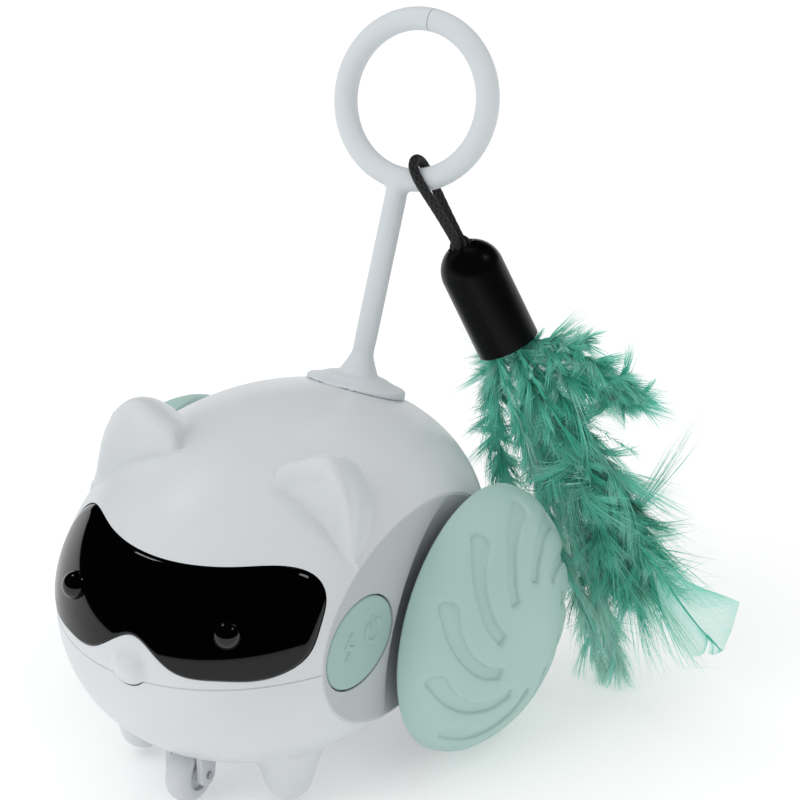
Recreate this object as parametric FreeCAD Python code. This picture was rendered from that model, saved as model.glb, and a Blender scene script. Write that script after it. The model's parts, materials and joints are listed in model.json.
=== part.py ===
import FreeCAD, Part
import math
import os

V = FreeCAD.Vector
X_AXIS = V(1, 0, 0)
Y_AXIS = V(0, 1, 0)
Z_AXIS = V(0, 0, 1)

# Driving dimensions in millimetres. The model is drawn with the middle of the body over the
# origin, the face towards -Y, and is shifted at the end so that its box is centred.

# Egg-shaped casing: two half ellipsoids that meet at the seam
half_width = 38.5
half_length = 50.18
upper_height = 32.41
lower_height = 35.54
seam_z = 37.91
wall = 2.0
side_x = 30.6
seat_gap = 0.1
fit_gap = 0.15

# Side panels and the power button in the right one
panel_rise = 2.1
panel_plug = 1.6
panel_plug_wall = 1.4
panel_hole_radius = 3.4
button_centre = (-19.0, 39.3)
button_half_long = 10.3
button_half_high = 8.8
button_tilt = 14.0
button_gap = 0.3
button_skirt = 1.0
neck_depth = 0.3
skirt_thickness = 1.0
button_travel = 0.6

# Face
visor_proud = 0.4
visor_thickness = 1.6
visor_top_z = 58.2
visor_half = 29.2
visor_low_z = 39.8
visor_notch_z = 46.4
visor_shoulder = 9.0
eye_x = 17.1
eye_y = -42.2
eye_z = 48.6
eye_radius = 2.8
eye_pin_radius = 1.1
eye_pin_length = 7.0
nose_half_width = 4.05
nose_half_height = 3.7
nose_z = 39.7
nose_proud = 2.0
nose_depth = 4.2
nose_gap = 0.25

# Ears and feet, moulded with the shells
ear_front_y = -16.2
ear_depth = 8.5
ear_taper = 0.66
ear_root = (20.0, 57.0)
foot_x = 17.0
foot_y = -22.0
foot_bottom_z = 2.4
foot_tip_radius = 3.9
foot_root_radius = 7.4
foot_root_z = 15.0
foot_tip_round = 1.95

# Wheels and axles
axle_y = 17.3
wheel_radius = 27.19
wheel_face_x = 33.85
wheel_lip = 0.8
dome_height = 16.31
dome_wall = 1.8
slot_count = 10
slot_depth = 0.9
slot_drawn_radius = 27.19
hub_thickness = 1.6
hub_sleeve_radius = 2.8
axle_radius = 1.5
axle_start_x = 17.6
axle_end_x = 41.0
screw_head_radius = 2.2
screw_head_height = 1.4
screw_radius = 0.95
hub_screw_length = 4.9
axle_thread_depth = 5.6
sleeve_end_gap = 0.4
rib_half = 0.6
running_gap = 0.05

# Gear train, one on each side: motor pinion, double gear, drive gear
gear_module = 0.5
drive_teeth = 36
double_small_teeth = 10
double_big_teeth = 30
pinion_teeth = 8
mesh_slack = 0.1
double_direction = 150.0
pinion_direction = 182.0
drive_gear_x = (18.4, 20.9)
double_gear_x = (21.4, 23.2)
double_pin_radius = 1.0
box_wall = 1.2
box_inner_x = 16.8
box_lid_x = 23.8
box_room = 0.6
bush_radius = 2.7
bush_flange = 3.4
bush_flange_thickness = 0.8
motor_length = 15.0
motor_width = 12.0
motor_height = 10.0
motor_shaft_radius = 0.5
motor_nose_radius = 2.0

# Front roller
caster_y = -30.7
caster_radius = 6.5
caster_width = 5.2
caster_recess = 0.9
caster_rim = 2.9
caster_hub_radius = 2.0
caster_pin_radius = 0.8
caster_pin_end = 0.5
caster_gap = 0.35
cheek_thickness = 1.3
cheek_radius = 2.3
slot_room = 0.7
holder_thickness = 2.2
holder_half_width = 13.0
holder_foot = 2.0

# Boards, battery and charging socket
board_thickness = 1.4
board_half_width = 23.2
board_front_y = -34.0
board_back_y = -10.6
board_z = 30.0
board_post_radius = 2.0
board_post_x = 20.5
board_post_front = 4.0
battery_size = (22.0, 26.0, 7.4)
battery_front_y = -33.0
battery_z = 19.4
rib_thickness = 1.6
switch_size = 6.0
switch_height = 3.2
plunger_radius = 1.6
plunger_height = 1.1
button_board_size = (16.0, 13.0)
sensor_half_width = 13.0
sensor_bottom_z = 44.5
sensor_height = 11.0
sensor_y = -32.6
sensor_post_inset = 2.5
sensor_post_rise = 3.6
led_radius = 1.5
led_height = 1.8
led_inset = 2.0
window_half_width = 6.0
window_height = 5.0
port_width = 9.0
port_height = 3.3
port_depth = 7.4
port_z = 31.4
port_wall = 0.35
port_tongue = 0.7
port_y = 41.0
port_setback = 0.6
port_leg_radius = 1.5
port_leg_inset = 1.6
port_leg_front = 3.0
port_board_margin = 2.0

# Screws that hold the two shells together
post_radius = 3.6
post_end_gap = 1.0
shell_screw_head = 2.0
shell_screw_length = 12.0
screw_seat_below_seam = 6.0
screw_hole_gap = 0.25
rear_screw_x = 10.0
rear_screw_y = 35.0

# Tail: a soft stem with a ring at its end
tail_y = 30.4
tail_z = 63.7
tail_lean = 23.1
flange_radius = 10.0
flange_rise = 1.9
stud_radius = 3.0
stem_radius = 2.2
stem_length = 57.6
stem_root_spread = 1.8
stem_root_length = 4.0
stud_end = 1.6
nut_play = 0.8
ring_radius = 15.9
ring_tube = 2.35
nut_radius = 6.0
nut_height = 3.0

# Teaser: a cord over the ring, a cap and the feathers in it
cord_diameter = 2.0
cap_top = V(12.7, 48.6, 90.4)
cap_mouth = V(23.2, 50.6, 69.5)
cap_radius = 6.4
cap_wall = 1.3
knot_radius = 2.4
knot_depth = 0.8
cord_points = [V(13.3, 47.7, 89.7), V(10.1, 44.0, 96.0), V(4.2, 43.5, 106.7),
               V(2.3, 50.7, 106.4), V(8.5, 50.2, 95.8), V(12.8, 49.7, 89.7)]
feather_thickness = 1.1


def box(x0, x1, y0, y1, z0, z1):
    return Part.makeBox(x1 - x0, y1 - y0, z1 - z0, V(x0, y0, z0))


def rod(start, direction, radius, length):
    return Part.makeCylinder(radius, length, start, direction)


def rod_x(x0, x1, y, z, radius):
    return rod(V(x0, y, z), X_AXIS, radius, x1 - x0)


def rod_z(x, y, z0, z1, radius):
    return rod(V(x, y, z0), Z_AXIS, radius, z1 - z0)


def ellipsoid(centre, half_x, half_y, half_z):
    ball = Part.makeSphere(1.0)
    stretch = FreeCAD.Matrix()
    stretch.scale(half_x, half_y, half_z)
    ball = ball.transformGeometry(stretch)
    ball.translate(centre)
    return ball


def prism(points, direction):
    # A smooth closed outline through the points, pushed along a direction
    curve = Part.BSplineCurve()
    curve.interpolate(Points=points, PeriodicFlag=True)
    face = Part.Face(Part.Wire([curve.toShape()]))
    return face.extrude(direction)


def polygon_x(points, x0, x1):
    loop = [V(x0, y, z) for y, z in points]
    face = Part.Face(Part.makePolygon(loop + [loop[0]]))
    return face.extrude(V(x1 - x0, 0, 0))


def mirrored(shape):
    return shape.mirror(V(0, 0, 0), X_AXIS)


def body_half(grow, upper):
    height = upper_height if upper else lower_height
    egg = ellipsoid(V(0, 0, seam_z), half_width + grow, half_length + grow, height + grow)
    reach = half_length + height
    low = seam_z if upper else seam_z - reach
    return egg.common(box(-reach, reach, -reach, reach, low, low + reach))


def cavity(gap):
    # The room inside the shells, kept a gap away from their walls
    return body_half(-wall - gap, True).fuse(body_half(-wall - gap, False))


def surface_z(x, y, grow, upper):
    height = upper_height if upper else lower_height
    share = 1 - (x / (half_width + grow)) ** 2 - (y / (half_length + grow)) ** 2
    rise = (height + grow) * math.sqrt(share)
    return seam_z + rise if upper else seam_z - rise


# Places that several pieces share
axle_z = wheel_radius
pocket_floor = visor_proud - visor_thickness - seat_gap
tail_way = V(0, math.sin(math.radians(tail_lean)), math.cos(math.radians(tail_lean)))
tail_base = V(0, tail_y, tail_z)
ring_centre = tail_base + tail_way * stem_length
ring_normal = X_AXIS.cross(tail_way)
screw_places = [(foot_x, foot_y), (-foot_x, foot_y),
                (rear_screw_x, rear_screw_y), (-rear_screw_x, rear_screw_y)]
screw_seat_z = seam_z - screw_seat_below_seam
double_distance = gear_module * (drive_teeth + double_small_teeth) / 2 + mesh_slack
pinion_distance = gear_module * (double_big_teeth + pinion_teeth) / 2 + mesh_slack
double_y = axle_y + double_distance * math.cos(math.radians(double_direction))
double_z = axle_z + double_distance * math.sin(math.radians(double_direction))
pinion_y = double_y + pinion_distance * math.cos(math.radians(pinion_direction))
pinion_z = double_z + pinion_distance * math.sin(math.radians(pinion_direction))
holder_z = caster_radius * 2 + slot_room
nose_tip_y = -half_length - nose_proud
ring_back_y = ring_centre.y + ring_radius * tail_way.y + ring_tube
set_back = -(nose_tip_y + ring_back_y) / 2


def nose(gap):
    middle = V(0, nose_tip_y + nose_depth, nose_z)
    return ellipsoid(middle, nose_half_width + gap, nose_depth + gap, nose_half_height + gap)


def ear_outline(share, y):
    points = [(11.4, 64.0), (12.4, 70.3), (16.2, 73.8), (20.6, 75.2), (24.6, 74.0), (27.9, 70.0),
              (29.6, 64.5), (29.9, 58.5), (28.6, 51.5), (20.0, 54.0)]
    root_x, root_z = ear_root
    return [V(root_x + (x - root_x) * share, y, root_z + (z - root_z) * share) for x, z in points]


def ear():
    wires = []
    for share, y in ((1.0, ear_front_y), (ear_taper, ear_front_y + ear_depth)):
        curve = Part.BSplineCurve()
        curve.interpolate(Points=ear_outline(share, y), PeriodicFlag=True)
        wires.append(Part.Wire([curve.toShape()]))
    return Part.makeLoft(wires, True, True)


def visor_prism(gap):
    half = visor_half + gap
    top = visor_top_z + gap
    low = visor_low_z - gap
    side = [(half * 0.5, top), (half * 0.73, top - 0.6), (half * 0.89, top - 3.0),
            (half * 0.98, top - 6.8), (half, top - 11.0), (half * 0.97, low + 2.3),
            (half * 0.84, low), (half * 0.6, low + 0.1), (visor_shoulder - gap, low + 1.4)]
    loop = [(0, top)] + side + [(0, visor_notch_z - gap)] + [(-x, z) for x, z in reversed(side)]
    return prism([V(x, -half_length - wheel_radius, z) for x, z in loop], V(0, wheel_radius * 2, 0))


def shell_end_cut():
    reach = half_length + upper_height
    ends = []
    for sign in (1, -1):
        low = side_x if sign > 0 else -side_x - reach
        ends.append(box(low, low + reach, -reach, reach, -reach, reach * 2))
    return ends


def upper_shell():
    shell = body_half(0, True).fuse([ear(), mirrored(ear()), nose(0)])
    shell = shell.cut(body_half(-wall, True))
    shell = shell.cut(shell_end_cut())
    pocket = visor_prism(fit_gap)
    pocket = pocket.cut(body_half(pocket_floor, True))
    shell = shell.cut(pocket)
    middle = (visor_notch_z + visor_top_z) / 2
    shell = shell.cut(box(-window_half_width, window_half_width, -half_length, sensor_y,
                          middle - window_height / 2, middle + window_height / 2))
    for sign in (1, -1):
        start = V(sign * eye_x, eye_y, eye_z)
        shell = shell.cut(rod(start, Y_AXIS, eye_pin_radius + fit_gap, eye_pin_length))
        post = rod(V(sign * (sensor_half_width - sensor_post_inset), sensor_y, middle + sensor_post_rise),
                   -Y_AXIS, board_post_radius, half_length)
        shell = shell.fuse(post.common(body_half((pocket_floor - wall) / 2, True)))
    for x, y in screw_places:
        post = rod_z(x, y, seam_z, surface_z(x, y, -wall / 2, True) - post_end_gap, post_radius)
        post = post.common(body_half(-wall / 2, True))
        post = post.cut(rod_z(x, y, seam_z, seam_z + shell_screw_length, screw_radius + running_gap))
        shell = shell.fuse(post)
    stud_hole = rod(tail_base - tail_way * wheel_radius / 2, tail_way, stud_radius + fit_gap, wheel_radius)
    return shell.cut([stud_hole, button_well()])


def foot():
    cone = Part.makeCone(foot_tip_radius, foot_root_radius, foot_root_z - foot_bottom_z,
                         V(foot_x, foot_y, foot_bottom_z))
    tip = cone.Edges[0]
    for edge in cone.Edges:
        if edge.BoundBox.ZMax < foot_bottom_z + 0.01:
            tip = edge
    return cone.makeFillet(foot_tip_round, [tip])


def caster_slot():
    half = caster_width / 2 + caster_gap + cheek_thickness + slot_room
    reach = caster_radius + slot_room
    return box(-half, half, caster_y - reach, caster_y + reach, 0, holder_z)


def lower_shell():
    shell = body_half(0, False).fuse([foot(), mirrored(foot())])
    shell = shell.cut(body_half(-wall, False))
    room = body_half(-wall / 2, False)
    for x, y in screw_places:
        shell = shell.fuse(rod_z(x, y, 0, seam_z, post_radius).common(room))
    for x, y in board_posts():
        shell = shell.fuse(rod_z(x, y, 0, board_z, board_post_radius).common(room))
    for y in rib_places():
        rib = box(-battery_size[0] / 2, battery_size[0] / 2, y, y + rib_thickness, 0, battery_z)
        shell = shell.fuse(rib.common(room))
    shell = shell.cut(shell_end_cut() + [nose(nose_gap), caster_slot(), button_well()])
    for x, y in screw_places:
        shell = shell.cut(rod_z(x, y, 0, screw_seat_z, shell_screw_head + screw_hole_gap))
        shell = shell.cut(rod_z(x, y, 0, seam_z, screw_radius + screw_hole_gap))
    half = port_width / 2 + fit_gap
    port_hole = box(-half, half, port_y, half_length + wall, port_z - fit_gap, port_z + port_height + fit_gap)
    sleeve_room = rod_x(side_x - wall * 3, side_x, axle_y, axle_z, panel_hole_radius)
    return shell.cut([port_hole, sleeve_room, mirrored(sleeve_room)])


def rib_places():
    return [battery_front_y + battery_size[1] * 0.5, battery_front_y + battery_size[1] - rib_thickness]


def board_posts():
    places = []
    for y in (board_front_y + board_post_front, board_back_y - board_post_radius):
        for sign in (1, -1):
            places.append((sign * board_post_x, y))
    return places


def visor():
    outer = body_half(visor_proud, True)
    inner = body_half(visor_proud - visor_thickness, True)
    plate = visor_prism(0).common(outer).cut(inner)
    for sign in (1, -1):
        start = V(sign * eye_x, eye_y - visor_thickness, eye_z)
        plate = plate.cut(rod(start, Y_AXIS, eye_pin_radius + fit_gap, eye_pin_length))
    return plate


def eye():
    bead = Part.makeSphere(eye_radius, V(eye_x, eye_y, eye_z))
    bead = bead.cut(body_half(visor_proud + seat_gap, True))
    return bead.fuse(rod(V(eye_x, eye_y, eye_z), Y_AXIS, eye_pin_radius, eye_pin_length))


def panel_cap():
    # A shallow lens on the cut ends of the shells, drawn as a slice of a stretched ball
    share = math.sqrt(1 - (side_x / half_width) ** 2)
    ball_cut = 0.8
    base = math.sqrt(1 - ball_cut ** 2)
    caps = []
    for height, low in ((upper_height, 0.0), (lower_height, -1.0)):
        ball = Part.makeSphere(1.0).common(box(ball_cut, 1.0, -1.0, 1.0, low, low + 1.0))
        ball.translate(V(-ball_cut, 0, 0))
        stretch = FreeCAD.Matrix()
        stretch.scale(panel_rise / (1 - ball_cut), half_length * share / base, height * share / base)
        ball = ball.transformGeometry(stretch)
        ball.translate(V(side_x, 0, seam_z))
        caps.append(ball)
    return caps[0].fuse(caps[1])


def side_panel():
    reach = half_length
    slab = box(side_x - panel_plug, side_x, -reach, reach, 0, reach * 2)
    plug = cavity(seat_gap).common(slab)
    hollow = cavity(seat_gap + panel_plug_wall).common(slab)
    return panel_cap().fuse(plug.cut(hollow)).cut(
        rod_x(0, wheel_face_x, axle_y, axle_z, panel_hole_radius))


def button_outline(grow, x):
    count = 12
    points = []
    for step in range(count):
        turn = 2 * math.pi * step / count
        long = (button_half_long + grow) * math.cos(turn)
        high = (button_half_high + grow) * math.sin(turn)
        tilt = math.radians(button_tilt)
        y = button_centre[0] + long * math.cos(tilt) - high * math.sin(tilt)
        z = button_centre[1] + long * math.sin(tilt) + high * math.cos(tilt)
        points.append(V(x, y, z))
    return points


def button_well():
    # The room that the button's neck needs in the panel and in the rims of the shells
    floor_x = side_x - neck_depth - button_travel - button_gap
    return prism(button_outline(button_gap, floor_x), V(wheel_face_x - floor_x, 0, 0))


def right_side_panel():
    return side_panel().cut(button_well())


def button_skirt_x():
    return side_x - neck_depth - skirt_thickness


def power_button():
    # The flush face, a short neck, and a skirt behind the panel that keeps it in
    top = panel_cap().common(prism(button_outline(0, side_x), V(panel_rise * 2, 0, 0)))
    neck = prism(button_outline(0, side_x - neck_depth), V(neck_depth, 0, 0))
    skirt = prism(button_outline(button_skirt, button_skirt_x()), V(skirt_thickness, 0, 0))
    skirt = skirt.common(cavity(seat_gap + panel_plug_wall + button_gap))
    return top.fuse([neck, skirt])


def switch_plunger():
    y, z = button_centre
    end = button_skirt_x()
    return rod_x(end - plunger_height, end, y, z, plunger_radius)


def switch_x():
    return button_skirt_x() - plunger_height - button_travel - fit_gap


def tact_switch():
    y, z = button_centre
    half = switch_size / 2
    end = switch_x()
    body = box(end - switch_height, end, y - half, y + half, z - half, z + half)
    return body


def button_board():
    y, z = button_centre
    half = button_board_size[0] / 2
    end = switch_x() - switch_height
    top = z + button_board_size[1] / 2
    return box(end - board_thickness, end, y - half, y + half, board_z + board_thickness, top)


def main_board():
    board = box(-board_half_width, board_half_width, board_front_y, board_back_y,
                board_z, board_z + board_thickness)
    for x, y in screw_places[:2]:
        board = board.cut(rod_z(x, y, 0, seam_z, post_radius + fit_gap))
    return board.common(cavity(seat_gap))


def board_parts():
    top = board_z + board_thickness
    chips = [(-7.0, -24.0, 9.0, 9.0, 1.2), (4.0, -25.0, 6.0, 5.0, 1.4), (4.5, -17.5, 4.0, 3.0, 1.0),
             (-6.0, -13.6, 3.0, 2.0, 1.1), (0.2, -31.0, 11.0, 3.4, 3.2)]
    return Part.makeCompound([box(x, x + long, y, y + wide, top, top + high)
                              for x, y, long, wide, high in chips])


def sensor_board():
    return box(-sensor_half_width, sensor_half_width, sensor_y, sensor_y + board_thickness,
               sensor_bottom_z, sensor_bottom_z + sensor_height)


def sensor_parts():
    middle = (visor_notch_z + visor_top_z) / 2
    parts = []
    for x in (-window_half_width + led_inset, 0, window_half_width - led_inset):
        body = rod(V(x, sensor_y, middle), -Y_AXIS, led_radius, led_height)
        parts.append(body.fuse(Part.makeSphere(led_radius, V(x, sensor_y - led_height, middle))))
    return Part.makeCompound(parts)


def battery():
    wide, long, high = battery_size
    cell = box(-wide / 2, wide / 2, battery_front_y, battery_front_y + long, battery_z, battery_z + high)
    upright = [edge for edge in cell.Edges if edge.BoundBox.YLength > long - 0.01]
    return cell.makeFillet(high * 0.3, upright)


def usb_port():
    half = port_width / 2
    back = surface_back_y() - port_setback
    front = back - port_depth
    can = box(-half, half, front, back, port_z, port_z + port_height)
    corners = [edge for edge in can.Edges if edge.BoundBox.YLength > port_depth - 0.01]
    can = can.makeFillet(port_height * 0.4, corners)
    hollow = box(-half + port_wall, half - port_wall, front + port_wall, back + 1.0,
                 port_z + port_wall, port_z + port_height - port_wall)
    corners = [edge for edge in hollow.Edges if edge.BoundBox.YLength > port_depth - 0.01]
    hollow = hollow.makeFillet(port_height * 0.25, corners)
    middle = port_z + port_height / 2
    tongue = box(-half * 0.7, half * 0.7, front, back - 0.8,
                 middle - port_tongue / 2, middle + port_tongue / 2)
    return can.cut(hollow).fuse(tongue)


def surface_back_y():
    drop = seam_z - port_z - port_height / 2
    return half_length * math.sqrt(1 - (drop / lower_height) ** 2)


def port_board():
    half = port_width / 2 + port_board_margin
    back = surface_back_y() - wall - port_setback
    front = back - port_depth
    board = box(-half, half, front, back, port_z - board_thickness, port_z)
    posts = [rod_z(sign * (half - port_leg_inset), front + port_leg_front, 0, port_z - board_thickness,
                   port_leg_radius) for sign in (1, -1)]
    legs = [leg.common(body_half(-wall - seat_gap, False)) for leg in posts]
    return board.common(cavity(seat_gap)).fuse(legs)


def shell_screws():
    screws = []
    for x, y in screw_places:
        head = rod_z(x, y, screw_seat_z - screw_head_height, screw_seat_z, shell_screw_head)
        shank = rod_z(x, y, screw_seat_z, screw_seat_z + shell_screw_length, screw_radius)
        recess = rod_z(x, y, screw_seat_z - screw_head_height, screw_seat_z - screw_head_height / 2,
                       screw_radius * 0.8)
        screws.append(head.fuse(shank).cut(recess))
    return Part.makeCompound(screws)


def gear(teeth, x0, x1, y, z, phase, bore):
    pitch_radius = gear_module * teeth / 2
    tip = pitch_radius + gear_module * 0.8
    root = pitch_radius - gear_module * 1.2
    pitch = 2 * math.pi / teeth
    points = []
    for tooth in range(teeth):
        middle = phase + tooth * pitch
        for part, radius in ((-0.28, root), (-0.11, tip), (0.11, tip), (0.28, root)):
            turn = middle + part * pitch
            points.append((y + radius * math.cos(turn), z + radius * math.sin(turn)))
    wheel = polygon_x(points, x0, x1)
    if bore:
        wheel = wheel.cut(rod_x(x0, x1, y, z, bore))
    return wheel


def drive_gear():
    toward = math.radians(double_direction)
    x0, x1 = drive_gear_x
    return gear(drive_teeth, x0, x1, axle_y, axle_z, toward, axle_radius)


def double_gear():
    toward = math.radians(double_direction)
    bore = double_pin_radius + running_gap
    half_pitch = math.pi / double_small_teeth
    small = gear(double_small_teeth, drive_gear_x[0], double_gear_x[0], double_y, double_z,
                 toward + math.pi + half_pitch, bore)
    big = gear(double_big_teeth, double_gear_x[0], double_gear_x[1], double_y, double_z,
               math.radians(pinion_direction), bore)
    return big.fuse(small)


def motor_pinion():
    half_pitch = math.pi / pinion_teeth
    phase = math.radians(pinion_direction) + math.pi + half_pitch
    wheel = gear(pinion_teeth, double_gear_x[0], double_gear_x[1], pinion_y, pinion_z, phase, 0)
    start = motor_start_x() + motor_length / 2
    return wheel.fuse(rod_x(start, double_gear_x[0], pinion_y, pinion_z, motor_shaft_radius))


def motor_start_x():
    return box_inner_x - motor_length - seat_gap


def motor():
    start = motor_start_x()
    half = motor_width / 2
    can = box(start, start + motor_length, pinion_y - half, pinion_y + half,
              pinion_z - motor_height / 2, pinion_z + motor_height / 2)
    round_off = rod_x(start, start + motor_length, pinion_y, pinion_z, half)
    can = can.common(round_off)
    end = start + motor_length
    nose_end = rod_x(end, end + box_wall + seat_gap, pinion_y, pinion_z, motor_nose_radius)
    bore = rod_x(start + motor_length / 2, end + box_wall * 2, pinion_y, pinion_z,
                 motor_shaft_radius + running_gap)
    return can.fuse(nose_end).cut(bore)


def box_outline():
    # Lowest and highest corners of the gear case in the plane of the gears
    room = box_room + box_wall
    tip = gear_module * 0.8
    drive = gear_module * drive_teeth / 2 + tip + room
    big = gear_module * double_big_teeth / 2 + tip + room
    small = gear_module * pinion_teeth / 2 + tip + room
    front = min(double_y - big, pinion_y - small)
    back = axle_y + drive
    low = axle_z - drive
    high = max(double_z + big, pinion_z + small, axle_z + drive)
    return front, back, low, high


def gearbox_case():
    front, back, low, high = box_outline()
    case = box(box_inner_x, box_lid_x, front, back, low, high)
    hollow = box(box_inner_x + box_wall, box_lid_x, front + box_wall, back - box_wall,
                 low + box_wall, high - box_wall)
    case = case.cut(hollow).common(cavity(seat_gap))
    case = case.fuse(rod_x(box_inner_x, box_inner_x + box_wall, axle_y, axle_z, bush_radius))
    case = case.cut(rod_x(box_inner_x + box_wall / 3, box_lid_x, axle_y, axle_z, axle_radius + running_gap))
    for y, z in box_screw_places():
        boss = rod_x(box_inner_x, box_lid_x, y, z, screw_radius * 1.9)
        case = case.fuse(boss).cut(rod_x(box_inner_x + box_wall, box_lid_x, y, z,
                                         screw_radius + running_gap))
    case = case.cut(rod_x(box_inner_x - 1.0, box_lid_x, pinion_y, pinion_z, motor_nose_radius + fit_gap))
    pin_hole = rod_x(box_inner_x, box_inner_x + box_wall, double_y, double_z, double_pin_radius)
    return case.cut(pin_hole)


def box_screw_places():
    front, back, low, high = box_outline()
    inset = box_wall + screw_radius
    return [(front + inset, low + inset * 4.5), (front + inset, high - inset), (back - inset, high - inset)]


def gearbox_lid():
    front, back, low, high = box_outline()
    lid = box(box_lid_x, box_lid_x + box_wall, front, back, low, high).common(cavity(seat_gap))
    lid = lid.cut(rod_x(box_lid_x, box_lid_x + box_wall, axle_y, axle_z, bush_radius + running_gap))
    for y, z in box_screw_places():
        lid = lid.cut(rod_x(box_lid_x, box_lid_x + box_wall, y, z, screw_radius + running_gap))
    pin_hole = rod_x(box_lid_x, box_lid_x + box_wall, double_y, double_z, double_pin_radius)
    return lid.cut(pin_hole)


def gearbox_screws():
    screws = []
    for y, z in box_screw_places():
        shank = rod_x(box_inner_x + box_wall * 2, box_lid_x + box_wall, y, z, screw_radius)
        end = box_lid_x + box_wall
        head = rod_x(end, end + screw_head_height, y, z, screw_radius * 1.9)
        slot = box(end + screw_head_height / 2, end + screw_head_height, y - screw_radius * 1.9,
                   y + screw_radius * 1.9, z - screw_radius / 4, z + screw_radius / 4)
        screws.append(shank.fuse(head).cut(slot))
    return Part.makeCompound(screws)


def double_pin():
    return rod_x(box_inner_x, box_lid_x + box_wall, double_y, double_z, double_pin_radius)


def bush_end_x():
    return box_lid_x + box_wall * 2.5


def axle_bush():
    bush = rod_x(box_lid_x, bush_end_x(), axle_y, axle_z, bush_radius)
    end = box_lid_x + box_wall
    flange = rod_x(end, end + bush_flange_thickness, axle_y, axle_z, bush_flange)
    bore = rod_x(box_lid_x, box_lid_x + box_wall * 3, axle_y, axle_z, axle_radius + running_gap)
    return bush.fuse(flange).cut(bore)


def axle():
    return rod_x(axle_start_x, axle_end_x, axle_y, axle_z, axle_radius).cut(
        rod_x(axle_end_x - axle_thread_depth, axle_end_x, axle_y, axle_z, screw_radius))


def hub_outer_radius():
    return wheel_radius - dome_wall - fit_gap


def wheel_hub():
    disc = rod_x(wheel_face_x, wheel_face_x + hub_thickness, axle_y, axle_z, hub_outer_radius())
    sleeve = rod_x(bush_end_x() + sleeve_end_gap, axle_end_x, axle_y, axle_z, hub_sleeve_radius)
    hub = disc.fuse(sleeve)
    spokes = []
    for step in range(6):
        rib = box(wheel_face_x + hub_thickness, wheel_face_x + hub_thickness * 3, axle_y,
                  axle_y + hub_outer_radius() * 0.72, axle_z - rib_half, axle_z + rib_half)
        rib.rotate(V(0, axle_y, axle_z), X_AXIS, step * 60.0)
        spokes.append(rib)
    hub = hub.fuse(spokes)
    return hub.cut(rod_x(0, axle_end_x, axle_y, axle_z, axle_radius))


def dome_solid(shrink):
    # Half of a flattened ball on a short straight lip
    base_x = wheel_face_x + wheel_lip
    radius = wheel_radius - shrink
    ball = ellipsoid(V(base_x, axle_y, axle_z), dome_height - wheel_lip - shrink, radius, radius)
    half = ball.common(box(base_x, base_x + dome_height, axle_y - wheel_radius, axle_y + wheel_radius,
                           axle_z - wheel_radius, axle_z + wheel_radius))
    return half.fuse(rod_x(wheel_face_x, base_x, axle_y, axle_z, radius))


def slot_points():
    # One slot's outline as distance from the axle and angle from +Y
    polar = [(24.3, 104.6), (22.3, 107.3), (20.2, 114.5), (17.4, 126.0), (13.8, 143.0), (10.9, 163.0),
             (11.3, 168.6), (12.6, 168.5), (15.7, 152.6), (20.0, 137.0), (23.3, 123.0), (25.4, 110.5),
             (25.6, 106.4)]
    points = []
    for drawn, degrees in polar:
        radius = drawn * wheel_radius / slot_drawn_radius
        turn = math.radians(degrees)
        points.append(V(wheel_face_x + hub_thickness, axle_y + radius * math.cos(turn),
                        axle_z + radius * math.sin(turn)))
    return points


def wheel_dome():
    # The slots are prisms cut down to a smaller dome
    slot = prism(slot_points(), V(dome_height * 1.2, 0, 0)).cut(dome_solid(slot_depth))
    slots = []
    for step in range(slot_count):
        cutter = slot.copy()
        cutter.rotate(V(0, axle_y, axle_z), X_AXIS, step * 360.0 / slot_count)
        slots.append(cutter)
    return dome_solid(0).cut(dome_solid(dome_wall)).cut(slots)


def hub_screw():
    end = axle_end_x
    head = rod_x(end, end + screw_head_height, axle_y, axle_z, screw_head_radius)
    shank = rod_x(end - hub_screw_length, end, axle_y, axle_z, screw_radius - running_gap)
    half = screw_radius / 4
    slot = box(end + screw_head_height / 2, end + screw_head_height, axle_y - screw_head_radius,
               axle_y + screw_head_radius, axle_z - half, axle_z + half)
    return head.fuse(shank).cut(slot)


def caster_wheel():
    half = caster_width / 2
    roller = rod_x(-half, half, caster_y, caster_radius, caster_radius)
    rims = [edge for edge in roller.Edges if edge.Curve.TypeId == "Part::GeomCircle"]
    roller = roller.makeFillet(half * 0.9, rims)
    for start in (-half, half - caster_recess):
        dish = rod_x(start, start + caster_recess, caster_y, caster_radius, caster_radius - caster_rim)
        dish = dish.cut(rod_x(start, start + caster_recess, caster_y, caster_radius, caster_hub_radius))
        roller = roller.cut(dish)
    return roller.cut(rod_x(-half, half, caster_y, caster_radius, caster_pin_radius + running_gap))


def cheek_start():
    return caster_width / 2 + caster_gap


def caster_pin():
    half = cheek_start() + cheek_thickness + caster_pin_end
    return rod_x(-half, half, caster_y, caster_radius, caster_pin_radius)


def caster_holder():
    reach = caster_radius + slot_room + holder_foot
    plate = box(-holder_half_width, holder_half_width, caster_y - reach, caster_y + reach,
                holder_z, holder_z + holder_thickness)
    holder = plate.common(body_half(-wall - seat_gap, False))
    for sign in (1, -1):
        x0 = cheek_start() if sign > 0 else -cheek_start() - cheek_thickness
        arm = box(x0, x0 + cheek_thickness, caster_y - cheek_radius, caster_y + cheek_radius,
                  caster_radius, holder_z)
        end = rod_x(x0, x0 + cheek_thickness, caster_y, caster_radius, cheek_radius)
        holder = holder.fuse([arm, end])
    return holder.cut(rod_x(-holder_half_width, holder_half_width, caster_y, caster_radius,
                            caster_pin_radius))


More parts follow.
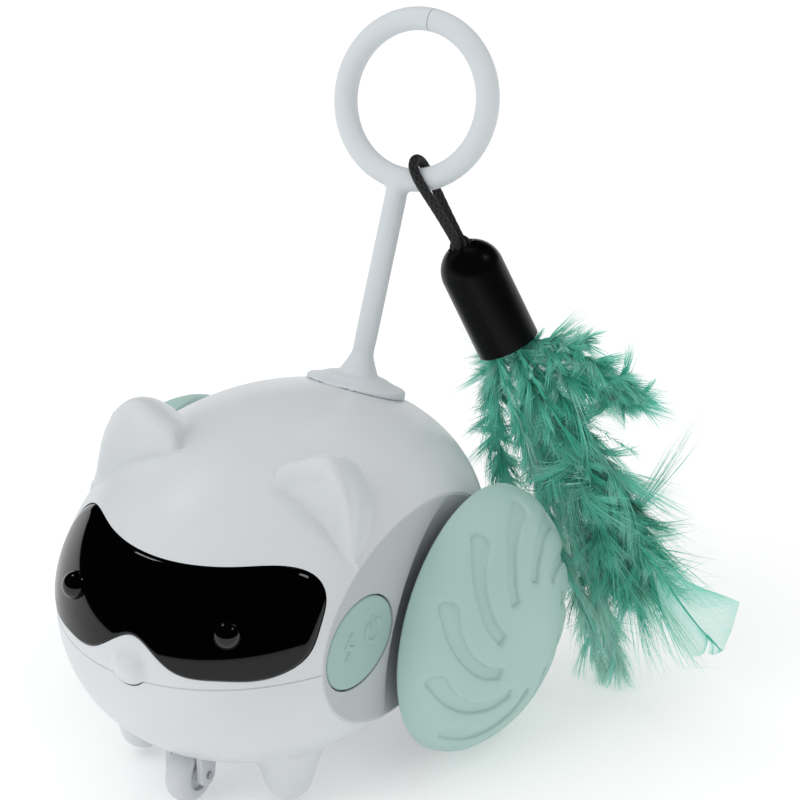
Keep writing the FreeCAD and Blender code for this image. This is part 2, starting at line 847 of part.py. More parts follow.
def tail():
    flange = rod(tail_base - tail_way * flange_rise * 2, tail_way, flange_radius, flange_rise * 3)
    flange = flange.cut(body_half(seat_gap, True))
    stud_length = wall + nut_height + stud_end
    stud = rod(tail_base - tail_way * stud_length, tail_way, stud_radius, stud_length)
    stem = rod(tail_base, tail_way, stem_radius, stem_length - ring_radius)
    root = Part.makeCone(stem_radius + stem_root_spread, stem_radius, stem_root_length,
                         tail_base + tail_way * flange_rise, tail_way)
    ring = Part.makeTorus(ring_radius, ring_tube, ring_centre, ring_normal)
    return flange.fuse([stud, stem, root, ring])


def tail_nut():
    start = tail_base - tail_way * (wall + nut_height + nut_play)
    nut = rod(start, tail_way, nut_radius, nut_height)
    return nut.cut(rod(start, tail_way, stud_radius + running_gap, nut_height))


def round_route(points):
    # Straight runs joined by tangent arcs, with the radii printed
    edges = []
    start = points[0]
    length = 0.0
    for index in range(1, len(points) - 1):
        before = points[index] - points[index - 1]
        after = points[index + 1] - points[index]
        turn = before.getAngle(after)
        bend = 0.45 * min(before.Length, after.Length) / math.tan(turn / 2)
        back = bend * math.tan(turn / 2)
        way_in = V(before).normalize()
        way_out = V(after).normalize()
        first = points[index] - way_in * back
        last = points[index] + way_out * back
        inward = (way_out - way_in).normalize()
        middle = points[index] + inward * (bend / math.cos(turn / 2) - bend)
        edges.append(Part.LineSegment(start, first).toShape())
        edges.append(Part.Arc(first, middle, last).toShape())
        length += (first - start).Length + bend * turn
        start = last
        print("cord bend", round(math.degrees(turn), 1), "degrees, radius", round(bend, 2))
    edges.append(Part.LineSegment(start, points[-1]).toShape())
    length += (points[-1] - start).Length
    return Part.Wire(edges), length


def cord_loop():
    wire, length = round_route(cord_points)
    start = cord_points[0]
    section = Part.Wire([Part.makeCircle(cord_diameter / 2, start, cord_points[1] - start)])
    tube = wire.makePipeShell([section], True, False)
    print("cord length", round(length, 2), "volume", round(tube.Volume, 2),
          "section times length", round(math.pi * cord_diameter ** 2 / 4 * length, 2))
    return tube


def cap_way():
    return (cap_mouth - cap_top).normalize()


def knot_centre():
    return cap_top + cap_way() * knot_depth


def cord_knot(tube):
    # The crimped ends of the cord, a ball that the cap turns on
    return Part.makeSphere(knot_radius, knot_centre()).cut(tube)


def bullet(radius, start, length):
    # A rod with a round top end
    way = cap_way()
    crown = Part.makeSphere(radius, start + way * radius)
    return crown.fuse(rod(start + way * radius, way, radius, length - radius))


def teaser_cap():
    way = cap_way()
    length = (cap_mouth - cap_top).Length
    cap = bullet(cap_radius, cap_top, length)
    crown_wall = knot_depth + knot_radius + cap_wall
    cap = cap.cut(bullet(cap_radius - cap_wall, cap_top + way * crown_wall, length))
    socket = knot_radius + running_gap
    return cap.cut(Part.makeSphere(socket, knot_centre()))


def feather(stations, axis):
    # A flat vane through ellipses: place, half width, and the vane's broad direction
    wires = []
    for index, (place, half) in enumerate(stations):
        before = stations[max(index - 1, 0)][0]
        after = stations[min(index + 1, len(stations) - 1)][0]
        way = (V(*after) - V(*before)).normalize()
        broad = (axis - way * axis.dot(way)).normalize()
        thin = max(min(feather_thickness, half * 0.6), 0.25)
        centre = V(*place)
        ellipse = Part.Ellipse(centre + broad * half, centre + way.cross(broad) * thin, centre)
        wires.append(Part.Wire([ellipse.toShape()]))
    return Part.makeLoft(wires, True, False)


def main_plume():
    return feather([((23.0, 50.4, 71.6), 2.2), ((33.0, 51.5, 58.5), 8.0), ((46.0, 52.5, 42.5), 9.5),
                    ((57.5, 52.5, 28.0), 6.5), ((65.0, 52.0, 17.5), 1.2)], V(0.75, 0, 0.66))


def upper_feather():
    return feather([((23.4, 52.4, 70.6), 1.0), ((26.6, 53.5, 68.6), 1.4), ((36.0, 54.5, 69.3), 4.1),
                    ((47.0, 55.0, 66.0), 3.4), ((54.5, 55.0, 61.5), 0.7)], V(0.1, 0, 1.0))


def rear_strand():
    return feather([((20.9, 52.9, 71.4), 0.9), ((20.0, 52.9, 66.0), 1.1), ((18.4, 52.9, 58.0), 2.6),
                    ((19.4, 52.8, 46.0), 2.4), ((22.0, 52.8, 36.0), 0.6)], V(1.0, 0, 0))


def lower_plume():
    return feather([((21.6, 47.7, 68.8), 1.0), ((29.0, 47.6, 49.0), 5.0), ((38.5, 47.8, 28.0), 6.0),
                    ((46.0, 46.0, 12.0), 4.0), ((50.6, 43.4, 2.6), 0.8)], V(1.0, 0, 0.2))


def long_vane():
    return feather([((25.0, 48.6, 71.9), 0.8), ((42.0, 49.4, 58.0), 3.6), ((60.0, 50.0, 41.0), 4.2),
                    ((76.4, 50.0, 25.0), 0.9)], V(0.7, 0, 0.7))


def save(name, shape):
    solids = shape.Solids
    if not solids:
        raise RuntimeError("no solid in " + name)
    moved = Part.makeCompound(solids) if len(solids) > 1 else solids[0]
    moved = moved.translated(V(0, set_back, 0))
    if not moved.isValid():
        print("not valid", name)
    moved.exportStep(os.path.join("parts", name + ".step"))
    print(name, "solids", len(solids), "volume", round(moved.Volume, 2))
    return moved


def save_sides(name, make):
    shape = make()
    save("right_" + name, shape)
    save("left_" + name, mirrored(shape))


def main():
    os.makedirs("parts", exist_ok=True)
    print("set back", round(set_back, 4))
    single = [("upper_shell", upper_shell), ("lower_shell", lower_shell), ("visor", visor),
              ("power_button", power_button), ("switch_plunger", switch_plunger),
              ("tact_switch", tact_switch), ("button_board", button_board),
              ("main_board", main_board), ("board_parts", board_parts),
              ("sensor_board", sensor_board), ("sensor_parts", sensor_parts),
              ("battery", battery), ("usb_port", usb_port), ("port_board", port_board),
              ("shell_screws", shell_screws), ("caster_wheel", caster_wheel),
              ("caster_pin", caster_pin), ("caster_holder", caster_holder),
              ("tail", tail), ("tail_nut", tail_nut), ("teaser_cap", teaser_cap), ("main_plume", main_plume),
              ("upper_feather", upper_feather), ("rear_strand", rear_strand),
              ("lower_plume", lower_plume), ("long_vane", long_vane)]
    for name, make in single:
        save(name, make())
    tube = cord_loop()
    save("cord_loop", tube)
    save("cord_knot", cord_knot(tube))
    save("right_side_panel", right_side_panel())
    save("left_side_panel", mirrored(side_panel()))
    paired = [("eye", eye), ("motor", motor), ("motor_pinion", motor_pinion),
              ("double_gear", double_gear), ("double_pin", double_pin), ("drive_gear", drive_gear),
              ("gearbox_case", gearbox_case), ("gearbox_lid", gearbox_lid),
              ("gearbox_screws", gearbox_screws), ("axle_bush", axle_bush), ("axle", axle),
              ("wheel_hub", wheel_hub), ("hub_screw", hub_screw), ("wheel_dome", wheel_dome)]
    for name, make in paired:
        save_sides(name, make)


main()
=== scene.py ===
import bpy
import json
import math
import numpy as np
from mathutils import Matrix, Vector
from mathutils.kdtree import KDTree


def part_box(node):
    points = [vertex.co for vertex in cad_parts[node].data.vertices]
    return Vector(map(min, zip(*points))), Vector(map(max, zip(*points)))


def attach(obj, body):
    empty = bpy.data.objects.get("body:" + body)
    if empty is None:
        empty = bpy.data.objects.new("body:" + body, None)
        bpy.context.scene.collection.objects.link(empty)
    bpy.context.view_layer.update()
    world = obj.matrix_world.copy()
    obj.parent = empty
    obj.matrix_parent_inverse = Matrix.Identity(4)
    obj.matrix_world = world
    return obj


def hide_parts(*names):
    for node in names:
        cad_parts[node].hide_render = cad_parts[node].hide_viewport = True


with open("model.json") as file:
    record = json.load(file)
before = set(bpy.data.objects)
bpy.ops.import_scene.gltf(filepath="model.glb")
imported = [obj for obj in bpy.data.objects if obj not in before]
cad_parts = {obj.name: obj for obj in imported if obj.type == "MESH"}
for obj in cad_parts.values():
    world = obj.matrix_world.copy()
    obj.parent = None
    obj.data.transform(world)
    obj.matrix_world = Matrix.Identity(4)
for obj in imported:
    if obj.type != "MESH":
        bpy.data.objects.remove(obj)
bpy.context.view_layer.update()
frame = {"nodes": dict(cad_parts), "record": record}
nodes = frame["nodes"]
mm = 0.001
onPlane = 0.01 * mm  # a face or point this close to a plane lies on it
leastWeight = 0.02  # below this nothing is smoothed

# the casing is two half eggs that meet at the level seam
body = {"halfWidth": 38.5 * mm, "halfLength": 50.18 * mm, "upperHeight": 32.41 * mm,
        "lowerHeight": 35.54 * mm, "seam": 37.91 * mm, "side": 30.6 * mm, "wall": 2.0 * mm,
        "voxel": 0.55 * mm, "groove": 0.2 * mm, "far": 0.2}
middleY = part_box("lower_shell")[1].y - body["halfLength"]
bodyMiddle = Vector((0, middleY, body["seam"]))


# camera, at the photograph's angle

view = {"azimuth": 31.59, "elevation": 28.44, "lens": 187.35, "place": (0.38937, -0.59096, 0.45478)}


def addCamera():
    turn, lift = math.radians(view["azimuth"]), math.radians(view["elevation"])
    back = Vector((math.sin(turn) * math.cos(lift), -math.cos(turn) * math.cos(lift), math.sin(lift)))
    right = Vector((math.cos(turn), math.sin(turn), 0))
    up = back.cross(right)
    deselectAll()
    bpy.ops.object.camera_add(location=view["place"])
    camera = bpy.context.active_object
    camera.rotation_euler = Matrix((right, up, back)).transposed().to_euler()
    camera.data.lens = view["lens"]
    camera.data.sensor_width = 36
    camera.data.clip_start, camera.data.clip_end = 0.01, 100
    bpy.context.scene.camera = camera


# small helpers for working on one object at a time

def deselectAll():
    if bpy.context.mode != "OBJECT":
        bpy.ops.object.mode_set(mode="OBJECT")
    bpy.ops.object.select_all(action="DESELECT")


def activate(item):
    deselectAll()
    item.select_set(True)
    bpy.context.view_layer.objects.active = item
    return item


def lastAdded(name):
    item = bpy.context.active_object
    item.name = name
    item.data.name = name
    return item


def editAll(item):
    activate(item)
    bpy.ops.object.mode_set(mode="EDIT")
    bpy.ops.mesh.select_all(action="SELECT")


def leaveEdit():
    bpy.ops.object.mode_set(mode="OBJECT")


def editFaces(item, test):  # go into edit mode with only the faces that pass the test selected
    activate(item)
    for part in (item.data.vertices, item.data.edges):
        part.foreach_set("select", [False] * len(part))
    item.data.polygons.foreach_set("select", [bool(test(face)) for face in item.data.polygons])
    bpy.ops.object.mode_set(mode="EDIT")
    bpy.ops.mesh.select_mode(type="FACE")


def editEdges(item, test):  # the same for edges, tested by the places of their two ends
    editAll(item)
    bpy.ops.mesh.select_mode(type="EDGE")
    bpy.ops.mesh.select_all(action="DESELECT")
    leaveEdit()
    for edge in item.data.edges:
        edge.select = test(*(item.data.vertices[index].co for index in edge.vertices))
    bpy.ops.object.mode_set(mode="EDIT")


def outwardFaces(item):
    editAll(item)
    bpy.ops.mesh.remove_doubles(threshold=0.001 * mm)
    bpy.ops.mesh.normals_make_consistent(inside=False)
    leaveEdit()


def applyPlace(item):
    activate(item)
    bpy.ops.object.transform_apply(location=True, rotation=True, scale=True)
    return item


def applyModifiers(item):
    activate(item)
    for modifier in list(item.modifiers):
        bpy.ops.object.modifier_apply(modifier=modifier.name)
    return item


def addModifier(item, kind, **settings):
    modifier = item.modifiers.new(kind.title(), kind)
    for key, value in settings.items():
        setattr(modifier, key, value)
    return modifier


def cutWith(item, cutter, operation="DIFFERENCE"):
    addModifier(item, "BOOLEAN", object=cutter, operation=operation, solver="MANIFOLD")
    applyModifiers(item)
    bpy.data.objects.remove(cutter)
    return item


def joinAll(items, name):
    deselectAll()
    for item in items:
        item.select_set(True)
    bpy.context.view_layer.objects.active = items[0]
    bpy.ops.object.join()
    return lastAdded(name)


def copyOf(item, name):
    twin = item.copy()
    twin.data = item.data.copy()
    twin.name = name
    twin.data.name = name
    bpy.context.scene.collection.objects.link(twin)
    return twin


def mirroredCopy(item, name):
    twin = copyOf(item, name)
    twin.data.transform(Matrix.Scale(-1, 4, (1, 0, 0)))
    twin.data.flip_normals()
    return twin


def readPoints(item):
    points = np.empty(len(item.data.vertices) * 3)
    item.data.vertices.foreach_get("co", points)
    return points.reshape(-1, 3)


def writePoints(item, points):
    item.data.vertices.foreach_set("co", np.ascontiguousarray(points, dtype=np.float32).ravel())
    item.data.update()


def setTone(item, name, values):  # a value at every point, for a finish to read
    layer = item.data.attributes.new(name, "FLOAT", "POINT")
    layer.data.foreach_set("value", np.clip(values, 0, 1).astype(np.float32).ravel())


def smoothStep(value):
    value = np.clip(value, 0, 1)
    return value * value * (3 - 2 * value)


def roundedEdge(depth, radius):  # how far a surface drops near its rim
    return radius * (1 - np.sqrt(1 - (1 - np.clip(depth / radius, 0, 1))**2))


def curvePiece(a, b, m0, m1, step):  # between points a and b, with slopes m0 and m1 there
    return ((2 * step**3 - 3 * step**2 + 1) * a + (step**3 - 2 * step**2 + step) * m0
            + (-2 * step**3 + 3 * step**2) * b + (step**3 - step**2) * m1)


def lengthAlong(points):
    return np.concatenate([[0], np.cumsum(np.linalg.norm(np.diff(points, axis=0), axis=1))])


def spreadAlong(points, where):  # places at given lengths along a chain of points
    length = lengthAlong(points)
    return np.stack([np.interp(where, length, points[:, axis]) for axis in range(points.shape[1])], 1)


def roundLoop(points, count):  # a smooth closed curve through the points, evenly spaced
    points = np.array(points, float)
    size = len(points)
    chord = np.linalg.norm(np.roll(points, -1, 0) - points, axis=1)
    system = np.zeros((size, size))
    target = np.zeros_like(points)
    for index in range(size):
        before, here = chord[index - 1], chord[index]
        after = (index + 1) % size
        system[index, index - 1] += here
        system[index, index] += 2 * (before + here)
        system[index, after] += before
        target[index] = 3 * (here / before * (points[index] - points[index - 1])
                             + before / here * (points[after] - points[index]))
    slopes = np.linalg.solve(system, target)
    step = np.linspace(0, 1, 40, endpoint=False)[:, None]
    fine = []
    for index in range(size):
        after = (index + 1) % size
        fine.append(curvePiece(points[index], points[after], slopes[index] * chord[index],
                               slopes[after] * chord[index], step))
    closed = np.concatenate(fine + [fine[0][:1]])
    return spreadAlong(closed, np.linspace(0, lengthAlong(closed)[-1], count, endpoint=False))


def addRound(name, points):  # a flat face with a rounded outline, ready to be pushed into a solid
    deselectAll()
    bpy.ops.mesh.primitive_circle_add(vertices=len(points), radius=1, fill_type="NGON")
    item = lastAdded(name)
    writePoints(item, np.array(points))
    return item


def extrudeFace(item, move):  # every face pushed along a way, with walls left behind it
    editAll(item)
    bpy.ops.mesh.extrude_region_move(TRANSFORM_OT_translate={"value": Vector(move)})
    leaveEdit()
    outwardFaces(item)
    return item


def addBlock(name, low, high):
    deselectAll()
    low, high = Vector(low), Vector(high)
    bpy.ops.mesh.primitive_cube_add(size=1, location=(low + high) / 2, scale=high - low)
    return applyPlace(lastAdded(name))


def addRod(name, start, end, radius, sides=64, tip=None):
    deselectAll()
    start, end = Vector(start), Vector(end)
    way = end - start
    bpy.ops.mesh.primitive_cone_add(vertices=sides, radius1=radius, radius2=radius if tip is None else tip,
                                    depth=way.length, location=(start + end) / 2,
                                    rotation=way.to_track_quat("Z", "Y").to_euler())
    return applyPlace(lastAdded(name))


def addCurve(name, points, kind="POLY"):
    curve = bpy.data.curves.new(name, "CURVE")
    curve.dimensions = "3D"
    spline = curve.splines.new(kind)
    spline.points.add(len(points) - 1)
    for point, place in zip(spline.points, points):
        point.co = (*place, 1)
    item = bpy.data.objects.new(name, curve)
    bpy.context.scene.collection.objects.link(item)
    return item, spline


def curveToMesh(item, name):
    activate(item)
    bpy.ops.object.convert(target="MESH")
    return lastAdded(name)


def addLine(name, points):  # a chain of edges, ready to be spun
    return curveToMesh(addCurve(name, points)[0], name)


def addTube(name, points, radius):  # a closed ring of wire through the points, used as a cutter
    item, spline = addCurve(name, points)
    item.data.bevel_depth, item.data.bevel_resolution = radius, 1
    spline.use_cyclic_u = True
    item = curveToMesh(item, name)
    outwardFaces(item)
    return item


def finishPiece(item, bodyName, slotName, node, smooth=None):  # smooth: up to this angle
    if smooth:
        activate(item)
        bpy.ops.object.shade_smooth_by_angle(angle=math.radians(smooth))
    item.data.materials.clear()
    item.data.materials.append(slotFinish[slotName])
    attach(item, bodyName)
    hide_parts(node)
    return item


def finishPair(right, left, bodyName, slotName, node, smooth):  # the side's name goes in where "{}" stands
    for item, side in ((right, "right"), (left, "left")):
        finishPiece(item, bodyName.format(side), slotName, node.format(side), smooth)


# finishes

plastics = {
    "shellWhite": {"colour": (209, 213, 216), "rough": 0.34, "grain": 0.12},
    "panelGrey": {"colour": (180, 186, 188), "rough": 0.46, "grain": 0.3},
    "buttonMint": {"colour": (154, 184, 177), "rough": 0.42, "grain": 0.2},
    "wheelMint": {"colour": (170, 200, 193), "rough": 0.5, "grain": 0.3},
    "rollerGrey": {"colour": (200, 204, 208), "rough": 0.45, "grain": 0.2},
    "tailGrey": {"colour": (208, 214, 217), "rough": 0.48, "grain": 0.25},
    "capBlack": {"colour": (6, 6, 7), "rough": 0.28, "grain": 0.3, "ior": 1.22},
    "faceBlack": {"colour": (2, 2, 2), "rough": 0.05, "grain": 0.01, "ior": 1.4},
    "beadBlack": {"colour": (3, 3, 3), "rough": 0.08, "grain": 0.02},
    "chipBlack": {"colour": (22, 22, 24), "rough": 0.5, "grain": 0.5},
    "gearWhite": {"colour": (224, 222, 212), "rough": 0.5, "grain": 0.3},
    "caseGrey": {"colour": (120, 124, 128), "rough": 0.55, "grain": 0.5},
    "batteryBlue": {"colour": (44, 92, 160), "rough": 0.4, "grain": 0.3},
    "boardGreen": {"colour": (26, 92, 54), "rough": 0.35, "grain": 0.4}}
metals = {"steelGrey": {"colour": (180, 182, 186), "rough": 0.28},
          "brassYellow": {"colour": (206, 176, 106), "rough": 0.3}}
# the cord's braid tones: dark, and lighter where the painted sheen lies on the crowns
cordTones = [(0.1, (6, 6, 7)), (0.9, (40, 40, 42))]
# the down's tones; the barbs' painted shade near the quill reads the low end, their painted light at the tips
# the high end
featherTones = [(0.0, (14, 118, 92)), (0.35, (64, 190, 163)), (0.65, (116, 220, 198)), (1.0, (184, 234, 220))]


def toLinear(colour, share=1.0):
    linear = [value / 12.92 if value <= 0.04045 else ((value + 0.055) / 1.055)**2.4
              for value in (channel / 255 for channel in colour)]
    return [min(channel * share, 1.0) for channel in linear] + [1.0]


def newFinish(name, rough, metallic=0.0):
    material = bpy.data.materials.new(name)
    material.use_nodes = True
    tree = material.node_tree
    shader = tree.nodes["Principled BSDF"]
    shader.inputs["Roughness"].default_value = rough
    shader.inputs["Metallic"].default_value = metallic
    return material, tree, shader, tree.nodes.new("ShaderNodeTexCoord").outputs["Object"]


def readTone(tree, name):
    tone = tree.nodes.new("ShaderNodeAttribute")
    tone.attribute_name = name
    return tone.outputs["Fac"]


def addNoise(tree, place, scale, detail):
    noise = tree.nodes.new("ShaderNodeTexNoise")
    noise.inputs["Scale"].default_value = scale
    noise.inputs["Detail"].default_value = detail
    tree.links.new(place, noise.inputs["Vector"])
    return noise.outputs["Fac"]


def varyGloss(tree, shader, source, low, high):
    node = tree.nodes.new("ShaderNodeMapRange")
    node.inputs["From Min"].default_value, node.inputs["From Max"].default_value = 0.3, 0.7
    node.inputs["To Min"].default_value, node.inputs["To Max"].default_value = low, high
    tree.links.new(source, node.inputs["Value"])
    tree.links.new(node.outputs["Result"], shader.inputs["Roughness"])


def paint(tree, shader, source, stops):
    ramp = tree.nodes.new("ShaderNodeValToRGB")
    for place, colour in stops[1:-1]:
        ramp.color_ramp.elements.new(place)
    for element, (place, colour) in zip(ramp.color_ramp.elements, stops):
        element.position, element.color = place, colour
    tree.links.new(source, ramp.inputs["Fac"])
    tree.links.new(ramp.outputs["Color"], shader.inputs["Base Color"])


def paintPatchy(tree, shader, source, dark, pale):
    paint(tree, shader, source, [(0.3, dark), (0.7, pale)])


def addBump(tree, shader, height, distance, strength):
    bump = tree.nodes.new("ShaderNodeBump")
    bump.inputs["Distance"].default_value = distance
    bump.inputs["Strength"].default_value = strength
    tree.links.new(height, bump.inputs["Height"])
    tree.links.new(bump.outputs["Normal"], shader.inputs["Normal"])


def mouldedFinish(name, colour, rough, grain, ior=1.46):  # flow tone, patchy gloss and a fine grain
    material, tree, shader, place = newFinish(name, rough)
    shader.inputs["IOR"].default_value = ior
    paintPatchy(tree, shader, addNoise(tree, place, 40, 2), toLinear(colour, 0.975), toLinear(colour, 1.025))
    varyGloss(tree, shader, addNoise(tree, place, 90, 4), rough * 0.9, rough * 1.12)
    addBump(tree, shader, addNoise(tree, place, 3200, 2), 0.02 * mm, grain)
    return material


def metalFinish(name, colour, rough):  # turned metal with fine lines
    material, tree, shader, place = newFinish(name, rough, 1.0)
    paintPatchy(tree, shader, addNoise(tree, place, 120, 3), toLinear(colour, 0.92), toLinear(colour, 1.05))
    lines = addNoise(tree, place, 2400, 5)
    varyGloss(tree, shader, lines, rough * 0.8, rough * 1.3)
    addBump(tree, shader, lines, 0.01 * mm, 0.4)
    return material


def cordFinish():  # dark braid, with a painted sheen: lighter colour on its crowns
    material, tree, shader, place = newFinish("cordBlack", 0.7)
    paint(tree, shader, readTone(tree, "weave"), [(at, toLinear(colour)) for at, colour in cordTones])
    fibre = addNoise(tree, place, 5200, 3)
    varyGloss(tree, shader, fibre, 0.55, 0.85)
    addBump(tree, shader, fibre, 0.05 * mm, 0.6)
    return material


def featherFinish():  # down dyed teal, with painted shade darker at the quill and painted light paler at the tips
    material, tree, shader, place = newFinish("featherTeal", 0.75)
    paint(tree, shader, readTone(tree, "barbTone"), [(at, toLinear(colour)) for at, colour in featherTones])
    varyGloss(tree, shader, addNoise(tree, place, 900, 3), 0.62, 0.86)
    shader.inputs["Sheen Weight"].default_value = 0.3
    return material


finishes = {name: mouldedFinish(name, **values) for name, values in plastics.items()}
finishes.update({name: metalFinish(name, **values) for name, values in metals.items()})
finishes.update({"cordBlack": cordFinish(), "featherTeal": featherFinish()})
slotFinish = {"steel": finishes["steelGrey"], "brass": finishes["brassYellow"]}
for finishName, material in finishes.items():  # a slot's name is its finish's name with an underscore
    letters = ["_" + letter.lower() if letter.isupper() else letter for letter in finishName]
    slotFinish["".join(letters)] = material
print("finishes made:", len(finishes))


# the casing's own shape

def eggPoints(points, grow=0.0):  # points pushed out or in along their ray until they lie on the egg
    away = np.asarray(points, float) - np.array(bodyMiddle)
    height = np.where(away[:, 2] >= 0, body["upperHeight"], body["lowerHeight"]) + grow
    reach = np.stack([np.full(len(away), body["halfWidth"] + grow),
                      np.full(len(away), body["halfLength"] + grow), height], 1)
    return away / np.linalg.norm(away / reach, axis=1)[:, None] + np.array(bodyMiddle)


def eggRise(points):  # how far points stand out of the egg
    points = np.asarray(points, float)
    onEgg = eggPoints(points)
    away = np.linalg.norm(points - np.array(bodyMiddle), axis=1)
    return away - np.linalg.norm(onEgg - np.array(bodyMiddle), axis=1)


def eggFront(x, z, grow=0.0):  # the front of the egg, straight behind a point of the face
    up = z - body["seam"]
    height = np.where(up >= 0, body["upperHeight"], body["lowerHeight"]) + grow
    share = 1 - (x / (body["halfWidth"] + grow))**2 - (up / height)**2
    return middleY - (body["halfLength"] + grow) * np.sqrt(np.maximum(share, 0.0))


def addEgg(name, grow=0.0, segments=160, rings=100):
    deselectAll()
    bpy.ops.mesh.primitive_uv_sphere_add(segments=segments, ring_count=rings, radius=1, location=bodyMiddle)
    item = applyPlace(lastAdded(name))
    writePoints(item, eggPoints(readPoints(item), grow))
    return item


def addCavity(name, room=0.0):  # the egg's inner side, or a little less
    return addEgg(name, -body["wall"] - room, 96, 60)


def levelEllipse(count=240):  # the seam between the shells
    turns = np.linspace(0, 2 * math.pi, count, endpoint=False)
    return np.stack([body["halfWidth"] * np.cos(turns), middleY + body["halfLength"] * np.sin(turns),
                     np.full(count, body["seam"])], 1)


def sideEllipse(x, share=1.0, count=200):  # the edge of the egg's cut end, where the panel sits
    turns = np.linspace(0, 2 * math.pi, count, endpoint=False)
    scale = share * math.sqrt(1 - (x / body["halfWidth"])**2)
    height = np.where(np.sin(turns) >= 0, body["upperHeight"], body["lowerHeight"])
    return np.stack([np.full(count, x), middleY + scale * body["halfLength"] * np.cos(turns),
                     body["seam"] + scale * height * np.sin(turns)], 1)


def outlineDepth(points, outline):  # distance of flat points from a closed outline, positive inside it
    points, start = np.asarray(points, float), np.asarray(outline, float)
    way = np.roll(start, -1, 0) - start
    length = (way**2).sum(1)
    near = np.full(len(points), np.inf)
    inside = np.zeros(len(points), bool)
    for a, w, l in zip(start, way, length):
        gap = points - a
        share = np.clip(gap @ w / l, 0, 1)
        near = np.minimum(near, np.linalg.norm(gap - share[:, None] * w, axis=1))
        if w[1]:
            crossing = (points[:, 1] >= min(a[1], a[1] + w[1])) & (points[:, 1] < max(a[1], a[1] + w[1]))
            inside ^= crossing & (points[:, 0] < a[0] + (points[:, 1] - a[1]) / w[1] * w[0])
    return np.where(inside, near, -near)


def pushRing(move, scale, centre):  # what is selected is pushed on by one step and scaled about a centre
    bpy.ops.mesh.extrude_region_move(TRANSFORM_OT_translate={"value": move})
    bpy.ops.transform.resize(value=(scale, scale, scale), center_override=centre)


def insetSteps(widths):
    for width in widths:
        bpy.ops.mesh.inset(thickness=width * mm)


def fillWithRings(rings, centre):  # the one selected face is filled with rings down to a point
    share = 1.0
    for ring in range(1, rings):
        wanted = 1 - ring / rings
        pushRing((0, 0, 0), wanted / share, centre)
        share = wanted
    closeWithPoint()
    leaveEdit()


def closeWithPoint():  # the last ring is drawn together
    bpy.ops.mesh.merge(type="CENTER")


def spinProfile(name, profile, centre, axis, steps=96):  # profile: (distance from the axis, way along it)
    centre, axis = Vector(centre), Vector(axis).normalized()
    side = axis.orthogonal().normalized()
    item = addLine(name, [centre + side * radius + axis * along for radius, along in profile])
    editAll(item)
    bpy.ops.mesh.spin(steps=steps, angle=2 * math.pi, center=centre, axis=axis)
    leaveEdit()
    outwardFaces(item)
    return item


def arcPoints(centreRadius, centreAlong, radius, fromTurn, toTurn, count):
    turns = [math.radians(fromTurn + (toTurn - fromTurn) * step / count) for step in range(count + 1)]
    return [(centreRadius + radius * math.cos(turn), centreAlong + radius * math.sin(turn)) for turn in turns]


# ears, nose and feet

ear = {"frontY": middleY - 16.3 * mm, "depth": 6.8 * mm, "drawIn": 0.04, "roundOver": 0.34,
       "root": (20 * mm, 0, 58 * mm), "roundPower": 3.4, "steps": 14, "lean": 0.14, "leanTop": 72.0 * mm,
       "outline": [(10.8, 66.5), (12.0, 70.4), (16.2, 72.6), (19.8, 74.4), (22.2, 74.7), (24.6, 73.2),
                   (26.9, 70.0), (28.4, 66.3), (29.2, 62.2), (29.6, 58.0), (29.5, 54.0), (28.2, 50.5),
                   (20.0, 53.0)],
       "insets": [0.3, 0.4, 1.0, 0.9, 0.6, 0.6], "edge": 0.9 * mm, "rim": 1.4 * mm, "dish": 0.45 * mm,
       "dishWidth": 4.0 * mm, "ridge": 1.4 * mm}
nose = {"place": (0, middleY - 47.98 * mm, 39.7 * mm), "half": (4.05 * mm, 4.2 * mm, 3.7 * mm),
        "gap": 0.25 * mm}
melt = {"standing": 0.15 * mm, "reach": 3.0 * mm, "sunk": -1.0 * mm, "rounds": 24, "earRounds": 7}
foot = {"x": 17.0 * mm, "y": middleY - 22.0 * mm, "bottom": 2.4 * mm, "top": 15.0 * mm, "tip": 3.9 * mm,
        "root": 7.4 * mm, "round": 1.95 * mm}


def addEar(name):
    outline = roundLoop([(x * mm, z * mm) for x, z in ear["outline"]], 96)
    item = addRound(name, [(x, ear["frontY"], z) for x, z in outline])
    editAll(item)
    share = 1.0
    for step in range(1, ear["steps"] + 1):  # walls that draw in towards the back and round over
        part = step / ear["steps"]
        wanted = 1 - ear["drawIn"] * part - ear["roundOver"] * part**ear["roundPower"]
        pushRing((0, ear["depth"] / ear["steps"], 0), wanted / share, ear["root"])
        share = wanted
    leaveEdit()
    editFaces(item, lambda face: abs(face.center.y - ear["frontY"]) < onPlane)
    insetSteps(ear["insets"])
    leaveEdit()
    points = readPoints(item)
    front = points[:, 1] < ear["frontY"] + onPlane
    depth = outlineDepth(points[front][:, [0, 2]], outline)
    points[front, 1] += roundedEdge(depth, ear["edge"])
    points[front, 1] += ear["dish"] * smoothStep((depth - ear["rim"]) / ear["dishWidth"])
    points[:, 1] -= (ear["leanTop"] - points[:, 2]) * ear["lean"]
    writePoints(item, points)
    outwardFaces(item)
    return item


def addFoot(name, side):
    x, y = side * foot["x"], foot["y"]
    item = addRod(name, (x, y, foot["bottom"]), (x, y, foot["top"]), foot["tip"], tip=foot["root"], sides=72)
    editFaces(item, lambda face: face.center.z < foot["bottom"] + onPlane)
    bpy.ops.mesh.bevel(offset=foot["round"], segments=8, affect="EDGES", clamp_overlap=False)
    leaveEdit()
    outwardFaces(item)
    return item


def addNose(name, grow=0.0):
    deselectAll()
    bpy.ops.mesh.primitive_uv_sphere_add(segments=64, ring_count=40, radius=1, location=nose["place"],
                                         scale=[half + grow for half in nose["half"]])
    return applyPlace(lastAdded(name))


def smoothWhere(item, weights, rounds):
    group = item.vertex_groups.new(name="soft")
    for index in np.nonzero(weights > leastWeight)[0]:
        group.add([int(index)], float(weights[index]), "REPLACE")
    addModifier(item, "SMOOTH", factor=0.5, iterations=rounds, vertex_group="soft")
    applyModifiers(item)
    item.vertex_groups.clear()


